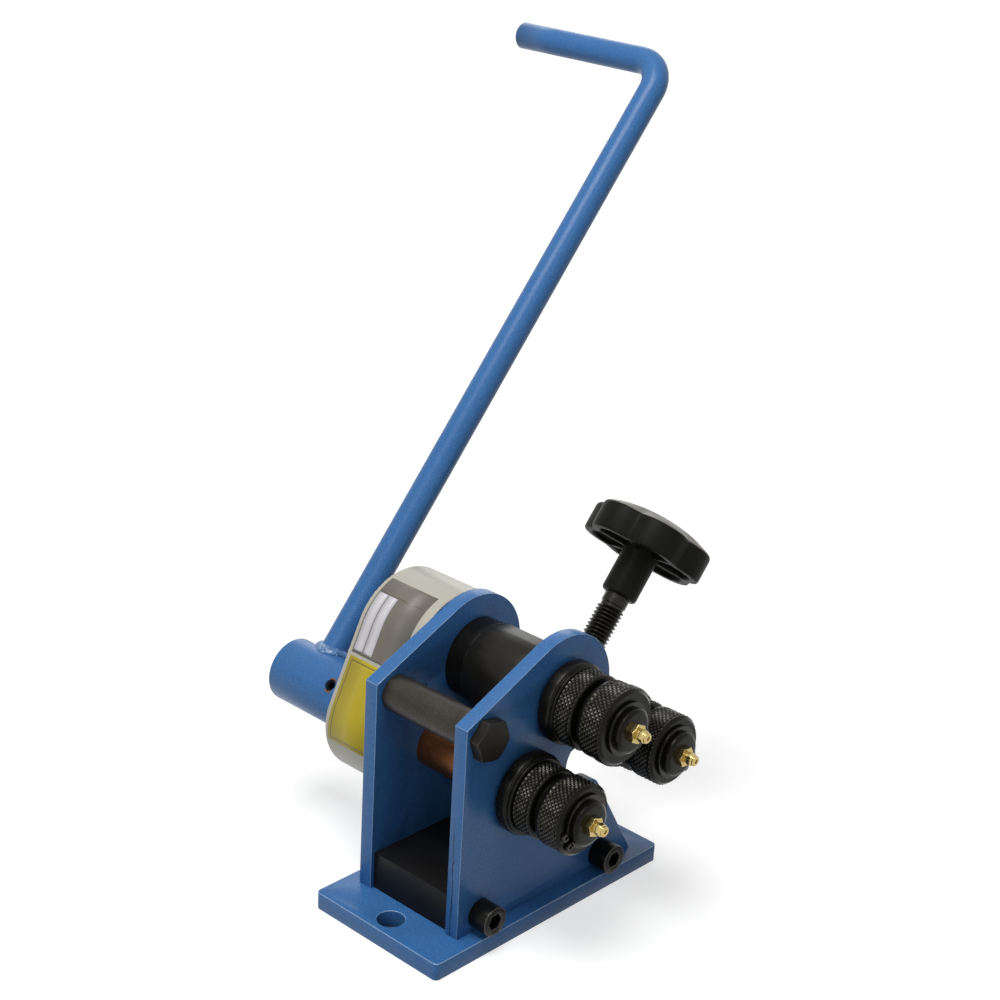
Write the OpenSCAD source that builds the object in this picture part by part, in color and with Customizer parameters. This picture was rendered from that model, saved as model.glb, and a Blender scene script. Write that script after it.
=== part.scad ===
// Angle roll bender: a small hand-cranked bench machine with three rolls.
// X runs along the base, Y along the shafts (rolls at -Y, crank at +Y), Z is up.
// The origin is the middle of the two base bolts, on the underside of the base.

/* [Base] */
// Length of the base plate
base_l = 150; // [140:1:180]
// Width of the base plate
base_w = 78.5; // [76:0.5:110]
// Thickness of the base plate
base_t = 8.6; // [6:0.2:14]
// Radius of the base plate's corners
base_corner_r = 2.5; // [1:0.5:8]
// Diameter of the two holes that bolt the base to a bench
bench_hole_d = 13; // [9:0.5:14]
// Distance from each end of the base to the bench bolt near it
bench_hole_inset = 10; // [9:0.5:14]

/* [Side plates] */
// Thickness of each side plate
plate_t = 7.3; // [5:0.1:9]
// Clear distance between the side plates
plate_gap = 48.5; // [46:0.5:52]
// Left edge of the side plates
plate_left = -55; // [-60:0.5:-50]
// Right end of the side plates' foot
plate_foot_right = 62.8; // [58:0.2:68]
// Height of the corner where the left edge meets the sloping top edge
plate_corner_z = 113.2; // [105:0.2:116]
// Radius of the rounded head round the upper shaft
head_r = 30.5; // [28:0.5:34]
// X of the middle of the throat's closed end, which lets the third shaft swing
throat_x = 23; // [22:0.1:24]
// Z of the middle of the throat's closed end
throat_z = 70.8; // [69:0.1:72]
// Radius of the throat's closed end
throat_r = 11.2; // [10.5:0.1:12]
// Radius of the rounded corner where the throat's lower edge meets the right edge
throat_corner_r = 8; // [4:0.5:10]

/* [Shaft places] */
// X of the lower shaft
lower_x = -17.1; // [-19:0.1:-15]
// Z of the lower shaft
lower_z = 70.9; // [68:0.1:72]
// Number of teeth on each of the two gears
gear_teeth = 22; // [22:2:24]
// Module of the gears, which sets the distance between the two driven shafts
gear_module = 2; // [2:0.05:2.1]
// Angle of the line from the lower shaft to the upper shaft
pinch_angle = 56.7; // [54:0.1:59]
// Distance from the upper shaft to the third shaft
arm_reach = 44; // [42:0.1:45]
// Angle of the line from the upper shaft to the third shaft
arm_angle = -34.1; // [-37:0.1:-31]

/* [Rolls] */
// Radius of the outer sleeve on the lower and third shafts
sleeve_r = 16.9; // [15:0.1:17.5]
// Radius of the outer sleeve on the upper shaft
upper_sleeve_r = 18; // [16:0.1:18.5]
// Radius of the thrust flange behind each roll
flange_r = 19.5; // [18:0.1:20]
// Radius of the shoulder in front of each thrust flange
flange_step_r = 18.6; // [17:0.1:19]
// Length of the thrust flange without its shoulder
flange_w = 6; // [5:0.1:8]
// Length of the shoulder in front of the flange
flange_step_w = 2; // [1:0.1:3]
// Length of the short inner ring
ring_w = 9.7; // [8:0.1:11]
// Width of the slot between ring and sleeve, for the leg of an angle bar
slot_w = 3; // [2:0.1:4]
// Radius at the bottom of that slot
slot_r = 13; // [12:0.1:14]
// Length of the outer sleeve
sleeve_w = 14.4; // [12:0.1:18]
// Gap between the front side plate and the flanges
flange_gap = 1.2; // [0.3:0.1:1.5]

/* [Shafts] */
// Radius of the shafts where they carry the rolls
seat_r = 10.5; // [9.5:0.1:11]
// Radius of the shafts between the side plates
journal_r = 9; // [8.2:0.1:9.3]
// Radius of the lower shaft's rear end, under the crank hub
crank_seat_r = 8; // [7:0.1:8.2]
// Radius of the third shaft's journal in the swing arm
third_journal_r = 7; // [6:0.1:7]
// Outer radius of the bronze bushes
bush_r = 11.3; // [10.8:0.1:12]
// Thickness of the retaining rings
clip_t = 1.4; // [1:0.1:1.6]
// Outer radius of the retaining rings
clip_r = 13; // [12.5:0.1:13.5]
// Depth of the groove that holds a retaining ring
clip_depth = 0.8; // [0.6:0.05:1.2]
// Bare shaft in front of the retaining ring
shaft_nose = 3.1; // [2.5:0.1:5]

/* [Grease nipples] */
// Width across flats of the nipple's hexagon
nipple_af = 9.5; // [8:0.1:11]
// Length of the hexagon
nipple_hex_l = 3.5; // [3:0.1:5]
// Length of the nose in front of the hexagon
nipple_nose_l = 4.3; // [3.5:0.1:6]
// Radius of the nose
nipple_nose_r = 3.2; // [2.6:0.1:3.6]

/* [Gears and cover] */
// Width of the gears
gear_w = 18; // [12:1:20]
// Distance from the rear side plate to the gears
gear_offset = 8.5; // [4:0.5:10]
// Outer radius of the gear cover round the lower shaft
cover_r = 28; // [27.5:0.1:30]
// Outer radius of the gear cover's larger upper end
cover_top_r = 31.6; // [31:0.1:33]
// Distance that the upper end is set to the left of the upper shaft
cover_top_left = 3.5; // [2:0.1:4]
// Depth of the gear cover behind the rear side plate
cover_depth = 38.5; // [36:0.5:42]
// Wall of the gear cover
cover_wall = 2; // [1.5:0.1:2.5]
// Thickness and width of the square keys in the gears
key_w = 5; // [4:0.1:5.5]

/* [Crank] */
// Outer diameter of the crank hub
hub_d = 31.5; // [28:0.5:34]
// Length of the crank hub
hub_l = 49.2; // [44:0.2:52]
// Running gap between the gear cover and the crank hub
hub_gap = 3.4; // [2:0.1:5]
// Diameter of the crank rod
rod_d = 14; // [12:0.5:15]
// Distance from the lower shaft's axis to the grip's axis
crank_throw = 359.5; // [300:5:380]
// Distance from the rod's axis to the end of the grip
grip_l = 100.5; // [80:1:110]
// Radius of the bend between rod and grip
rod_bend_r = 16; // [14:0.5:20]
// Angle of the crank rod above the horizontal, at rest
crank_angle = 50.1; // [45:0.1:55]
// Distance from the hub's rear end to the rod's axis
rod_inset = 17.4; // [15:0.1:22]

/* [Swing arm] */
// Radius of the arm's hub round the upper shaft
arm_hub_r = 20; // [19:0.1:21]
// Angle of the arm's block below the horizontal, at rest
block_angle = -40.2; // [-43:0.1:-37]
// Thickness of the arm's block between its front and rear faces
arm_w = 20.2; // [19:0.2:21]
// Gap between the arm's block and the rear side plate
arm_gap = 1.6; // [1:0.1:2]
// Distance along the arm from the third shaft to the adjusting screw's axis
screw_gap = 16.95; // [16.75:0.05:19]
// Metal beyond the adjusting screw at the arm's end
arm_end = 10; // [9.5:0.1:13]
// Width of the flat milled along the top of the arm's hub
hub_flat_w = 11; // [4:0.5:14]
// Radius of the arm's boss round the third shaft
boss_r = 14; // [12:0.1:15]
// Thickness of the washer between the arm and the rear side plate
washer_w = 10.4; // [9:0.1:12]
// Radius of that washer
washer_r = 19.5; // [17:0.1:20]

/* [Adjusting screw] */
// Radius over the crests of the adjusting screw's thread
thread_r = 6.95; // [6:0.05:7]
// Pitch of the thread
thread_pitch = 2; // [1.5:0.25:2.5]
// Depth of the thread
thread_depth = 1.1; // [0.8:0.1:1.3]
// Height of the plain neck's lower end above the shafts' plane
neck_z = 57.5; // [50:0.5:62]
// Length of the plain neck under the knob's hub
neck_l = 5.3; // [3:0.1:8]
// Radius of the knob over its lobes
knob_r = 31.8; // [26:0.2:34]
// Height of the knob's rim
knob_h = 14.5; // [12:0.5:20]
// Height of the dome on the knob, above its rim
knob_dome = 6.5; // [3:0.5:8]
// Number of lobes on the knob
knob_lobes = 6; // [5:1:8]
// Radius of each lobe
lobe_r = 15; // [11:0.2:16]
// Radius of the knob's hub
knob_hub_r = 9.1; // [8:0.1:10]
// Length of the knob's hub below the rim
knob_hub_l = 22.7; // [12:0.1:25]
// Radius of the domed thrust foot on the screw's tip
foot_r = 7; // [6.5:0.1:7.2]

/* [Spacer block and stop] */
// Left end of the spacer block
block_left = -53; // [-54.5:0.5:-50]
// Right end of the spacer block
block_right = 50; // [48:0.5:54]
// Height of the spacer block
block_h = 18.4; // [16:0.5:19]
// X of the left-hand cap screw
cap_left_x = -41.4; // [-43:0.2:-38]
// Height of the left-hand cap screw's head above the base
cap_left_lift = 1.6; // [1:0.1:3]
// X of the right-hand cap screw
cap_right_x = 39.4; // [36:0.2:41]
// Height of the right-hand cap screw's head above the base
cap_right_lift = 0.1; // [0.1:0.1:3]
// Radius of the cap screws' heads
cap_r = 7; // [6:0.1:7.5]
// Height of the cap screws' heads
cap_h = 10.3; // [7:0.1:11]
// Height of the thrust foot's centre above the spacer block, at rest
foot_lift = 9.4; // [8.8:0.1:10.2]
// Length of the stop's flat top
stop_top_l = 13.5; // [12.5:0.5:15]
// Width of the stop along the shafts
stop_w = 22; // [18:0.5:24]

/* [Tie rod] */
// X of the tie rod
tie_x = -43.5; // [-45:0.1:-42]
// Z of the tie rod
tie_z = 106.2; // [103:0.1:107]
// Outer radius of the tie tube
tie_r = 8.6; // [7.5:0.1:9]
// Width across flats of the tie bolts' heads
tie_af = 16.6; // [15:0.1:18]
// Height of the tie bolts' heads
tie_head_h = 6; // [5:0.1:8]

/* [Hidden] */
$fn = 96;
black = "#2b2b2a";
steel = "#5c5a55";
blue = "#5f8fc0";
bronze = "#a8714a";
brass = "#cdb676";
grey = "#cfcbc0";
// Radial play of a shaft that turns in its bush
running = 0.05;
// Radial play between pieces that are pushed together and stay so
snug = 0.02;
// Gap between flat faces that slide past each other
side_gap = 0.3;
// Small overlap that makes cuts break through a surface
cut = 1;
bench_hole_pitch = base_l - 2 * bench_hole_inset;
plate_front = -plate_gap / 2 - plate_t;
plate_rear = plate_gap / 2 + plate_t;
shaft_centres = gear_teeth * gear_module;
lower = [lower_x, lower_z];
upper = lower + shaft_centres * [cos(pinch_angle), sin(pinch_angle)];
third = upper + arm_reach * [cos(arm_angle), sin(arm_angle)];
// Faces along each roll, counted from the front side plate towards -Y
flange_y = plate_front - flange_gap;
ring_y = flange_y - flange_w - flange_step_w;
slot_y = ring_y - ring_w;
sleeve_y = slot_y - slot_w;
sleeve_end_y = sleeve_y - sleeve_w;
clip_y = sleeve_end_y - side_gap / 2 - clip_t;
nose_y = clip_y - shaft_nose;
gear_y = plate_rear + gear_offset;
gear_end_y = gear_y + gear_w;
cover_rear = plate_rear + cover_depth;
hub_front = cover_rear + hub_gap;
hub_rear = hub_front + hub_l;
rod_y = hub_rear - rod_inset;
arm_rear = plate_gap / 2 - arm_gap;
arm_front = arm_rear - arm_w;
// Front face of the arm's hub and boss, and rear face of its hub
arm_nose_y = -plate_gap / 2 + 2 * side_gap;
arm_hub_end = plate_gap / 2 - washer_w - side_gap;
screw_y = (arm_front + arm_rear) / 2;
// Place of the third shaft in the arm's own axes
third_on_arm = arm_reach * [cos(arm_angle - block_angle), sin(arm_angle - block_angle)];
// Distance from the upper shaft to the adjusting screw's axis
screw_reach = third_on_arm[0] + screw_gap;
knob_t = neck_z + neck_l;
block_top = base_t + block_h;
cap_places = [
    [cap_left_x, base_t + cap_left_lift + cap_r],
    [cap_right_x, base_t + cap_right_lift + cap_r]
];
// Run of the plates' right edge for each millimetre that it rises
plate_foot_slope = 0.5975;
// Fall of the throat's lower edge for each millimetre to the right
throat_fall = 0.215;
// How far the throat's cut runs past the foot's right end
throat_past = 20;
throat = [throat_x, throat_z];

// Cylinder along Y between two faces
module bar(at, y0, y1, r) {
    translate([at[0], min(y0, y1), at[1]])
        rotate([-90, 0, 0])
            cylinder(h = abs(y1 - y0), r = r);
}

// Round ring along Y between two faces
module ring(at, y0, y1, r, bore) {
    difference() {
        bar(at, y0, y1, r);
        bar(at, min(y0, y1) - cut, max(y0, y1) + cut, bore);
    }
}

// Flat outline in X and Z, made solid between two faces along Y
module slab(y0, y1) {
    translate([0, max(y0, y1), 0])
        rotate([90, 0, 0])
            linear_extrude(abs(y1 - y0))
                children();
}

// Rectangle with true round corners
module round_rect(l, w, r) {
    square([l - 2 * r, w], center = true);
    square([l, w - 2 * r], center = true);
    for (sx = [-1, 1], sy = [-1, 1])
        translate([sx * (l / 2 - r), sy * (w / 2 - r)])
            circle(r);
}

// Points along an arc in X and Z, every few degrees
arc_step = 5;
function arc(at, r, from, to) =
    let (steps = ceil((to - from) / arc_step))
        [for (i = [0:steps]) let (a = from + (to - from) * i / steps) at + r * [cos(a), sin(a)]];

// Outline of the gear cover, made smaller all round by inset: two round ends and their tangents
module cover_outline(inset) {
    span = cover_top - lower;
    lead = atan2(span[1], span[0]);
    spread = acos((cover_r - cover_top_r) / norm(span));
    polygon(concat(
        arc(lower, cover_r - inset, lead + spread, lead + 360 - spread),
        arc(cover_top, cover_top_r - inset, lead - spread, lead + spread)
    ));
}

// Moves a child into the swing arm's own axes: X along the arm, Z square to it
module on_arm() {
    translate([upper[0], 0, upper[1]])
        rotate([0, -block_angle, 0])
            children();
}

// Socket for a hexagon key
module hex_socket(af, depth) {
    cylinder(h = depth, r = af / sqrt(3), $fn = 6);
}

module base_plate() {
    color(blue)
        difference() {
            linear_extrude(base_t)
                round_rect(base_l, base_w, base_corner_r);
            for (s = [-1, 1])
                translate([s * bench_hole_pitch / 2, 0, -cut])
                    cylinder(h = base_t + 2 * cut, d = bench_hole_d);
            for (x = base_screw_x)
                translate([x, 0, 0])
                    base_screw_room(snug);
        }
}

// Countersunk screws that hold the spacer block down on the base
base_screw_x = [-24, 24];
base_screw_r = 4;
base_screw_head_r = 8;
base_screw_l = 20;

module base_screw_room(play) {
    translate([0, 0, -cut])
        cylinder(h = base_screw_l + cut, r = base_screw_r + play);
    cylinder(h = base_screw_head_r - base_screw_r, r1 = base_screw_head_r + play, r2 = base_screw_r + play);
}

module base_screws() {
    color(steel)
        for (x = base_screw_x)
            translate([x, 0, 0])
                difference() {
                    intersection() {
                        base_screw_room(0);
                        translate([0, 0, 0.2])
                            cylinder(h = base_screw_l - 0.4, r = base_screw_head_r);
                    }
                    translate([0, 0, 0.1])
                        hex_socket(5, 3);
                }
}

// Outline of a side plate: foot, sloping right edge, throat, round head, sloping top
module plate_outline() {
    corner = [plate_left, plate_corner_z];
    span = upper - corner;
    reach = norm(span);
    lift = atan2(span[1], span[0]) + asin(head_r / reach);
    touch = corner + sqrt(reach * reach - head_r * head_r) * [cos(lift), sin(lift)];
    top_z = throat[1] + throat_r;
    top_x = plate_foot_right - (top_z - base_t) * plate_foot_slope;
    far = plate_foot_right + throat_past;
    // Corner where the throat's lower edge meets the right edge, and the round that takes it off
    low_z = throat[1] - throat_r;
    corner_x = (plate_foot_right - plate_foot_slope * (low_z + throat_fall * throat[0] - base_t))
        / (1 - plate_foot_slope * throat_fall);
    tip = [corner_x, low_z - throat_fall * (corner_x - throat[0])];
    to_left = 180 - atan(throat_fall);
    to_foot = 360 - atan2(1, plate_foot_slope);
    half = (to_foot - to_left) / 2;
    tangent = throat_corner_r / tan(half);
    difference() {
        polygon([
            [plate_left, base_t],
            [plate_foot_right, base_t],
            [top_x, top_z],
            upper,
            touch,
            corner
        ]);
        translate(throat)
            circle(throat_r);
        polygon([
            throat - [0, throat_r],
            [far, throat[1] - throat_r - throat_fall * (far - throat[0])],
            [far, top_z],
            [throat[0], top_z]
        ]);
        polygon([
            tip + tangent * [cos(to_left), sin(to_left)],
            tip - [cos(to_left + half), sin(to_left + half)],
            tip + tangent * [cos(to_foot), sin(to_foot)]
        ]);
    }
    translate(tip + throat_corner_r / sin(half) * [cos(to_left + half), sin(to_left + half)])
        circle(throat_corner_r);
    translate(upper)
        circle(head_r);
}

// Holes that both side plates share
module plate_holes() {
    for (at = [lower, upper])
        translate(at)
            circle(bush_r + snug);
    translate([tie_x, tie_z])
        circle(tie_bolt_r + snug);
    for (at = cap_places)
        translate(at)
            circle(cap_shank_r + snug);
}

tie_bolt_r = 5;
cap_shank_r = 4;
// Length of the bolts that run through both plates and end inside the rear one
through_l = 2 * plate_t + plate_gap - 1;

module front_side_plate() {
    color(blue)
        slab(plate_front, -plate_gap / 2)
            difference() {
                plate_outline();
                plate_holes();
            }
}

module rear_side_plate() {
    color(blue)
        slab(plate_gap / 2, plate_rear)
            difference() {
                plate_outline();
                plate_holes();
                for (at = cover_screw_places)
                    translate(at)
                        circle(cover_screw_r + snug);
            }
}

module spacer_block() {
    color(black)
        difference() {
            translate([block_left, -plate_gap / 2, base_t])
                cube([block_right - block_left, plate_gap, block_h]);
            for (at = cap_places)
                bar(at, -plate_gap / 2 - cut, plate_gap / 2 + cut, cap_shank_r + snug);
            for (x = base_screw_x)
                translate([x, 0, 0])
                    cylinder(h = base_screw_l + snug, r = base_screw_r + snug);
            for (y = stop_screw_y)
                translate([stop_screw_x, y, block_top - stop_screw_depth])
                    cylinder(h = stop_screw_depth + cut, r = stop_screw_r + snug);
        }
}

// Socket-head cap screw with its head towards +Z and its head's seat at zero
module cap_screw(head_r, head_h, shank_r, shank_l, socket_af) {
    difference() {
        union() {
            cylinder(h = head_h, r = head_r);
            translate([0, 0, -shank_l])
                cylinder(h = shank_l, r = shank_r);
        }
        translate([0, 0, head_h / 2])
            hex_socket(socket_af, head_h);
    }
}

// Two long screws that clamp both side plates on the spacer block
module block_screws() {
    color(black)
        for (at = cap_places)
            translate([at[0], plate_front, at[1]])
                rotate([90, 0, 0])
                    cap_screw(cap_r, cap_h, cap_shank_r, through_l, 7);
}

// How far the thrust foot's centre lies below the arm's plane through the upper shaft
foot_depth = (upper[1] + screw_reach * sin(block_angle) - block_top - foot_lift) / cos(block_angle);
stop_screw_r = 3;
stop_screw_depth = 8;
stop_screw_head_r = 5;
stop_screw_head_h = 5;
// Spare length of the stop's face beyond each end of the arm's travel
stop_over = 2;
stop_gap = 0.1;

// Point of the stop's face under the screw when the arm has turned by swing degrees.
// The face is an involute of the circle of radius screw_reach about the upper shaft,
// so the screw meets it squarely at every angle of the arm.
function stop_point(swing) =
    let (at = block_angle + swing, fall = foot_depth + screw_reach * swing * PI / 180 + foot_r + stop_gap)
        upper + screw_reach * [cos(at), sin(at)] - fall * [-sin(at), cos(at)];
arm_drop = 26;
arm_lift = 4;
stop_steps = 12;
stop_face = [
    for (i = [0:stop_steps])
        stop_point(arm_lift + stop_over - (arm_lift + arm_drop + 2 * stop_over) * i / stop_steps)
];
stop_top = stop_face[stop_steps];
stop_screw_x = stop_top[0] - stop_top_l / 2;
stop_screw_y = [screw_y - 6, screw_y + 6];

// Hardened stop whose curved face carries the adjusting screw's foot
module stop_block() {
    color(steel)
        difference() {
            slab(screw_y - stop_w / 2, screw_y + stop_w / 2)
                polygon(concat(
                    [[stop_top[0] - stop_top_l, stop_top[1]], [stop_top[0] - stop_top_l, block_top],
                        [stop_face[0][0], block_top]],
                    stop_face
                ));
            for (y = stop_screw_y)
                translate([stop_screw_x, y, block_top - cut])
                    cylinder(h = stop_top[1] - block_top + 2 * cut, r = stop_screw_r + snug);
        }
}

module stop_screws() {
    color(black)
        for (y = stop_screw_y)
            translate([stop_screw_x, y, stop_top[1]])
                cap_screw(stop_screw_head_r, stop_screw_head_h, stop_screw_r,
                    stop_top[1] - block_top + stop_screw_depth - 1, 5);
}

module tie_tube() {
    color(steel)
        ring([tie_x, tie_z], -plate_gap / 2, plate_gap / 2, tie_r, tie_bolt_r + snug);
}

// Long hexagon-head bolt that pulls both plates onto the tie tube
module tie_bolt() {
    color(black)
        translate([tie_x, plate_front, tie_z])
            rotate([90, 0, 0]) {
                rotate(10)
                    cylinder(h = tie_head_h, r = tie_af / sqrt(3), $fn = 6);
                translate([0, 0, -through_l])
                    cylinder(h = through_l, r = tie_bolt_r);
            }
}

// One long bronze bush carries the lower shaft in both side plates
module lower_bush() {
    color(bronze)
        ring(lower, plate_front, plate_rear, bush_r, journal_r + running);
}

module upper_bushes() {
    color(bronze) {
        ring(upper, plate_front, -plate_gap / 2, bush_r, journal_r + running);
        ring(upper, plate_gap / 2, plate_rear, bush_r, journal_r + running);
    }
}

module arm_washer() {
    color(black)
        ring(upper, plate_gap / 2 - washer_w, plate_gap / 2, washer_r, journal_r + 0.3);
}

// Places of the two screws that hold the gear cover, beside the waist of the gears
cover_screw_side = 23.4;
cover_screw_r = 2;
cover_head_r = 3.5;
cover_head_h = 2.5;
cover_boss_r = 4;
// Step round the cover's rear face
cover_lip = 1.2;
cover_screw_places = [
    for (s = [-1, 1])
        (lower + upper) / 2 + s * cover_screw_side * [-sin(pinch_angle), cos(pinch_angle)]
];

cover_top = upper + [-cover_top_left, -1.2];

// Deep cover with round ends over the gears, with two bosses cast on its inner wall
module gear_cover() {
    color(grey)
        difference() {
            union() {
                slab(plate_rear, cover_rear - cover_lip)
                    cover_outline(0);
                slab(plate_rear, cover_rear)
                    cover_outline(cover_lip);
            }
            difference() {
                slab(plate_rear - cut, cover_rear - cover_lip - cover_wall)
                    cover_outline(cover_wall);
                for (at = cover_screw_places)
                    bar(at, plate_rear - 2 * cut, cover_rear, cover_boss_r);
            }
            bar(lower, cover_rear - 2 * cover_wall, cover_rear + cut, journal_r + 1);
            for (at = cover_screw_places)
                bar(at, plate_rear - cut, cover_rear + cut, cover_screw_r + snug);
        }
}

// Pan-head screws through the cover's bosses into the rear side plate
module cover_screws() {
    color("silver")
        for (at = cover_screw_places) {
            bar(at, plate_rear - plate_t + 1, cover_rear, cover_screw_r);
            difference() {
                bar(at, cover_rear, cover_rear + cover_head_h, cover_head_r);
                translate([at[0], cover_rear + cover_head_h / 2, at[1]])
                    for (a = [0, 90])
                        rotate([0, a + 20, 0])
                            translate([-2, 0, -0.4])
                                cube([4, cover_head_h, 0.8]);
            }
        }
}

// Shaft end that carries a roll: seat, groove for the retaining ring, bevelled nose
module roll_seat(at, rear_y) {
    difference() {
        union() {
            bar(at, nose_y + 1, rear_y, seat_r);
            translate([at[0], nose_y, at[1]])
                rotate([-90, 0, 0])
                    cylinder(h = 1, r1 = seat_r - 1, r2 = seat_r);
        }
        ring(at, clip_y, clip_y + clip_t, seat_r + cut, seat_r - clip_depth);
    }
}

// Square key seat on the +Z side of a shaft, along the gear
module key_room(at, play) {
    translate([at[0] - key_w / 2 - play, gear_y + 1 - play, at[1] + journal_r - key_w / 2 - play])
        cube([key_w + 2 * play, gear_w - 2 + 2 * play, key_w + 2 * play]);
}

module lower_shaft() {
    color(steel)
        difference() {
            union() {
                roll_seat(lower, flange_y);
                bar(lower, flange_y, cover_rear - 2 * cover_wall, journal_r);
                bar(lower, cover_rear - 2 * cover_wall, hub_rear - 6, crank_seat_r);
            }
            key_room(lower, snug);
        }
}

module upper_shaft() {
    color(steel)
        difference() {
            union() {
                roll_seat(upper, flange_y);
                bar(upper, flange_y, gear_end_y + 3, journal_r);
            }
            key_room(upper, snug);
        }
}

module third_shaft() {
    clip_place = third_pocket_y + third_clip_gap;
    color(steel)
        difference() {
            union() {
                roll_seat(third, arm_nose_y - side_gap);
                bar(third, arm_nose_y - side_gap, clip_place + clip_t + 1.5, third_journal_r);
            }
            ring(third, clip_place, clip_place + clip_t, third_journal_r + cut, third_journal_r - clip_depth);
        }
}

// Retaining rings: radius of the two ears, how far they are set in from the ring's
// edge, and the gap between them
ear_r = 2.1;
ear_inset = 0.4;
ear_gap = 3;
// Radius that the ears of a ring of outer radius r reach
function clip_reach(r) = norm([r - ear_inset, ear_gap / 2 + ear_r]) + ear_r;
// Pocket in the arm's rear face for the third shaft's own retaining ring
third_clip_r = third_journal_r + 2.3;
third_pocket_y = arm_rear - 4;
third_pocket_r = clip_reach(third_clip_r) + side_gap;
third_clip_gap = 0.4;

// Pieces of one roll, pushed on the shaft from the front and held by a retaining ring
module roll_flange(at) {
    ring(at, flange_y, flange_y - flange_w, flange_r, seat_r + snug);
    ring(at, flange_y - flange_w, ring_y, flange_step_r, seat_r + snug);
}

module roll_ring(at, r) {
    ring(at, ring_y, slot_y, r, seat_r + snug);
}

module roll_slot_ring(at) {
    ring(at, slot_y, sleeve_y, slot_r, seat_r + snug);
}

module roll_sleeve(at, r) {
    bevel = 1.2;
    translate([at[0], sleeve_y, at[1]])
        rotate([90, 0, 0])
            rotate_extrude()
                polygon([
                    [seat_r + snug, 0],
                    [r - bevel, 0],
                    [r, bevel],
                    [r, sleeve_w - bevel],
                    [r - bevel, sleeve_w],
                    [seat_r + snug, sleeve_w]
                ]);
}

// How the rings and the nipples on the lower, upper and third shaft happen to be turned
clip_turns = [155, 205, 250];
nipple_turns = [12, 4, 25];

// Retaining ring with a gap and two pierced ears on the side given by turn
module clip(at, y0, groove_r, r, turn) {
    translate([at[0], y0 + clip_t, at[1]])
        rotate([90, turn, 0])
            linear_extrude(clip_t)
                difference() {
                    union() {
                        circle(r);
                        for (s = [-1, 1])
                            translate([r - ear_inset, s * (ear_gap / 2 + ear_r)])
                                circle(ear_r);
                    }
                    circle(groove_r + snug);
                    translate([0, -ear_gap / 2])
                        square([r + 2 * ear_r, ear_gap]);
                    for (s = [-1, 1])
                        translate([r - ear_inset / 2, s * (ear_gap / 2 + ear_r)])
                            circle(0.8);
                }
}

// Brass grease nipple on the shaft's nose
module nipple(at, turn) {
    translate([at[0], nose_y, at[1]])
        rotate([90, turn, 0]) {
            cylinder(h = nipple_hex_l, r = nipple_af / sqrt(3), $fn = 6);
            translate([0, 0, nipple_hex_l])
                rotate_extrude()
                    polygon([
                        [0, 0],
                        [nipple_nose_r - 0.7, 0],
                        [nipple_nose_r - 0.7, 0.7],
                        [nipple_nose_r, 1.4],
                        [nipple_nose_r, nipple_nose_l - 1.4],
                        [nipple_nose_r - 1.2, nipple_nose_l],
                        [0.9, nipple_nose_l],
                        [0.9, nipple_nose_l - 1],
                        [0, nipple_nose_l - 1]
                    ]);
        }
}

module lower_flange() {
    color(black)
        roll_flange(lower);
}

module lower_ring() {
    color(black)
        roll_ring(lower, sleeve_r);
}

module lower_slot_ring() {
    color(black)
        roll_slot_ring(lower);
}

module lower_sleeve() {
    color(black)
        roll_sleeve(lower, sleeve_r);
}

module lower_clip() {
    color(steel)
        clip(lower, clip_y, seat_r - clip_depth, clip_r, clip_turns[0]);
}

module lower_nipple() {
    color(brass)
        nipple(lower, nipple_turns[0]);
}

module upper_flange() {
    color(black)
        roll_flange(upper);
}

module upper_ring() {
    color(black)
        roll_ring(upper, upper_sleeve_r);
}

module upper_slot_ring() {
    color(black)
        roll_slot_ring(upper);
}

module upper_sleeve() {
    color(black)
        roll_sleeve(upper, upper_sleeve_r);
}

module upper_clip() {
    color(steel)
        clip(upper, clip_y, seat_r - clip_depth, clip_r, clip_turns[1]);
}

module upper_nipple() {
    color(brass)
        nipple(upper, nipple_turns[1]);
}

module third_flange() {
    color(black)
        roll_flange(third);
}

module third_ring() {
    color(black)
        roll_ring(third, sleeve_r);
}

module third_slot_ring() {
    color(black)
        roll_slot_ring(third);
}

module third_sleeve() {
    color(black)
        roll_sleeve(third, sleeve_r);
}

module third_clip() {
    color(steel)
        clip(third, clip_y, seat_r - clip_depth, clip_r, clip_turns[2]);
}

module third_nipple() {
    color(brass)
        nipple(third, nipple_turns[2]);
}

module third_rear_clip() {
    color(steel)
        clip(third, third_pocket_y + third_clip_gap, third_journal_r - clip_depth, third_clip_r, 180);
}

// Involute function, in degrees
function inv(a) = tan(a) * 180 / PI - a;
// Half the angle that a tooth covers at radius r
function tooth_half(r) =
    let (pitch_r = shaft_centres / 2, base_r = pitch_r * cos(20), at = max(r, base_r + 0.001))
        (gear_pitch_angle / 4 - tooth_play / pitch_r * 90 / PI) + inv(20) - inv(acos(base_r / at));
gear_pitch_angle = 360 / gear_teeth;
tooth_play = 0.3;
tooth_steps = 4;

// Spur gear outline with a tooth centred on the angle lead
module gear_outline(lead) {
    pitch_r = shaft_centres / 2;
    root_r = pitch_r - 1.25 * gear_module;
    tip_r = pitch_r + 0.95 * gear_module;
    low_r = pitch_r * cos(20);
    radii = [for (i = [0:tooth_steps]) low_r + (tip_r - low_r) * i / tooth_steps];
    polygon([
        for (k = [0:gear_teeth - 1])
            let (mid = lead + k * gear_pitch_angle)
                each concat(
                    [root_r * [cos(mid - tooth_half(low_r) - 0.5), sin(mid - tooth_half(low_r) - 0.5)]],
                    [for (r = radii) r * [cos(mid - tooth_half(r)), sin(mid - tooth_half(r))]],
                    [for (i = [tooth_steps:-1:0])
                        radii[i] * [cos(mid + tooth_half(radii[i])), sin(mid + tooth_half(radii[i]))]],
                    [root_r * [cos(mid + tooth_half(low_r) + 0.5), sin(mid + tooth_half(low_r) + 0.5)]]
                )
    ]);
}

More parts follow.
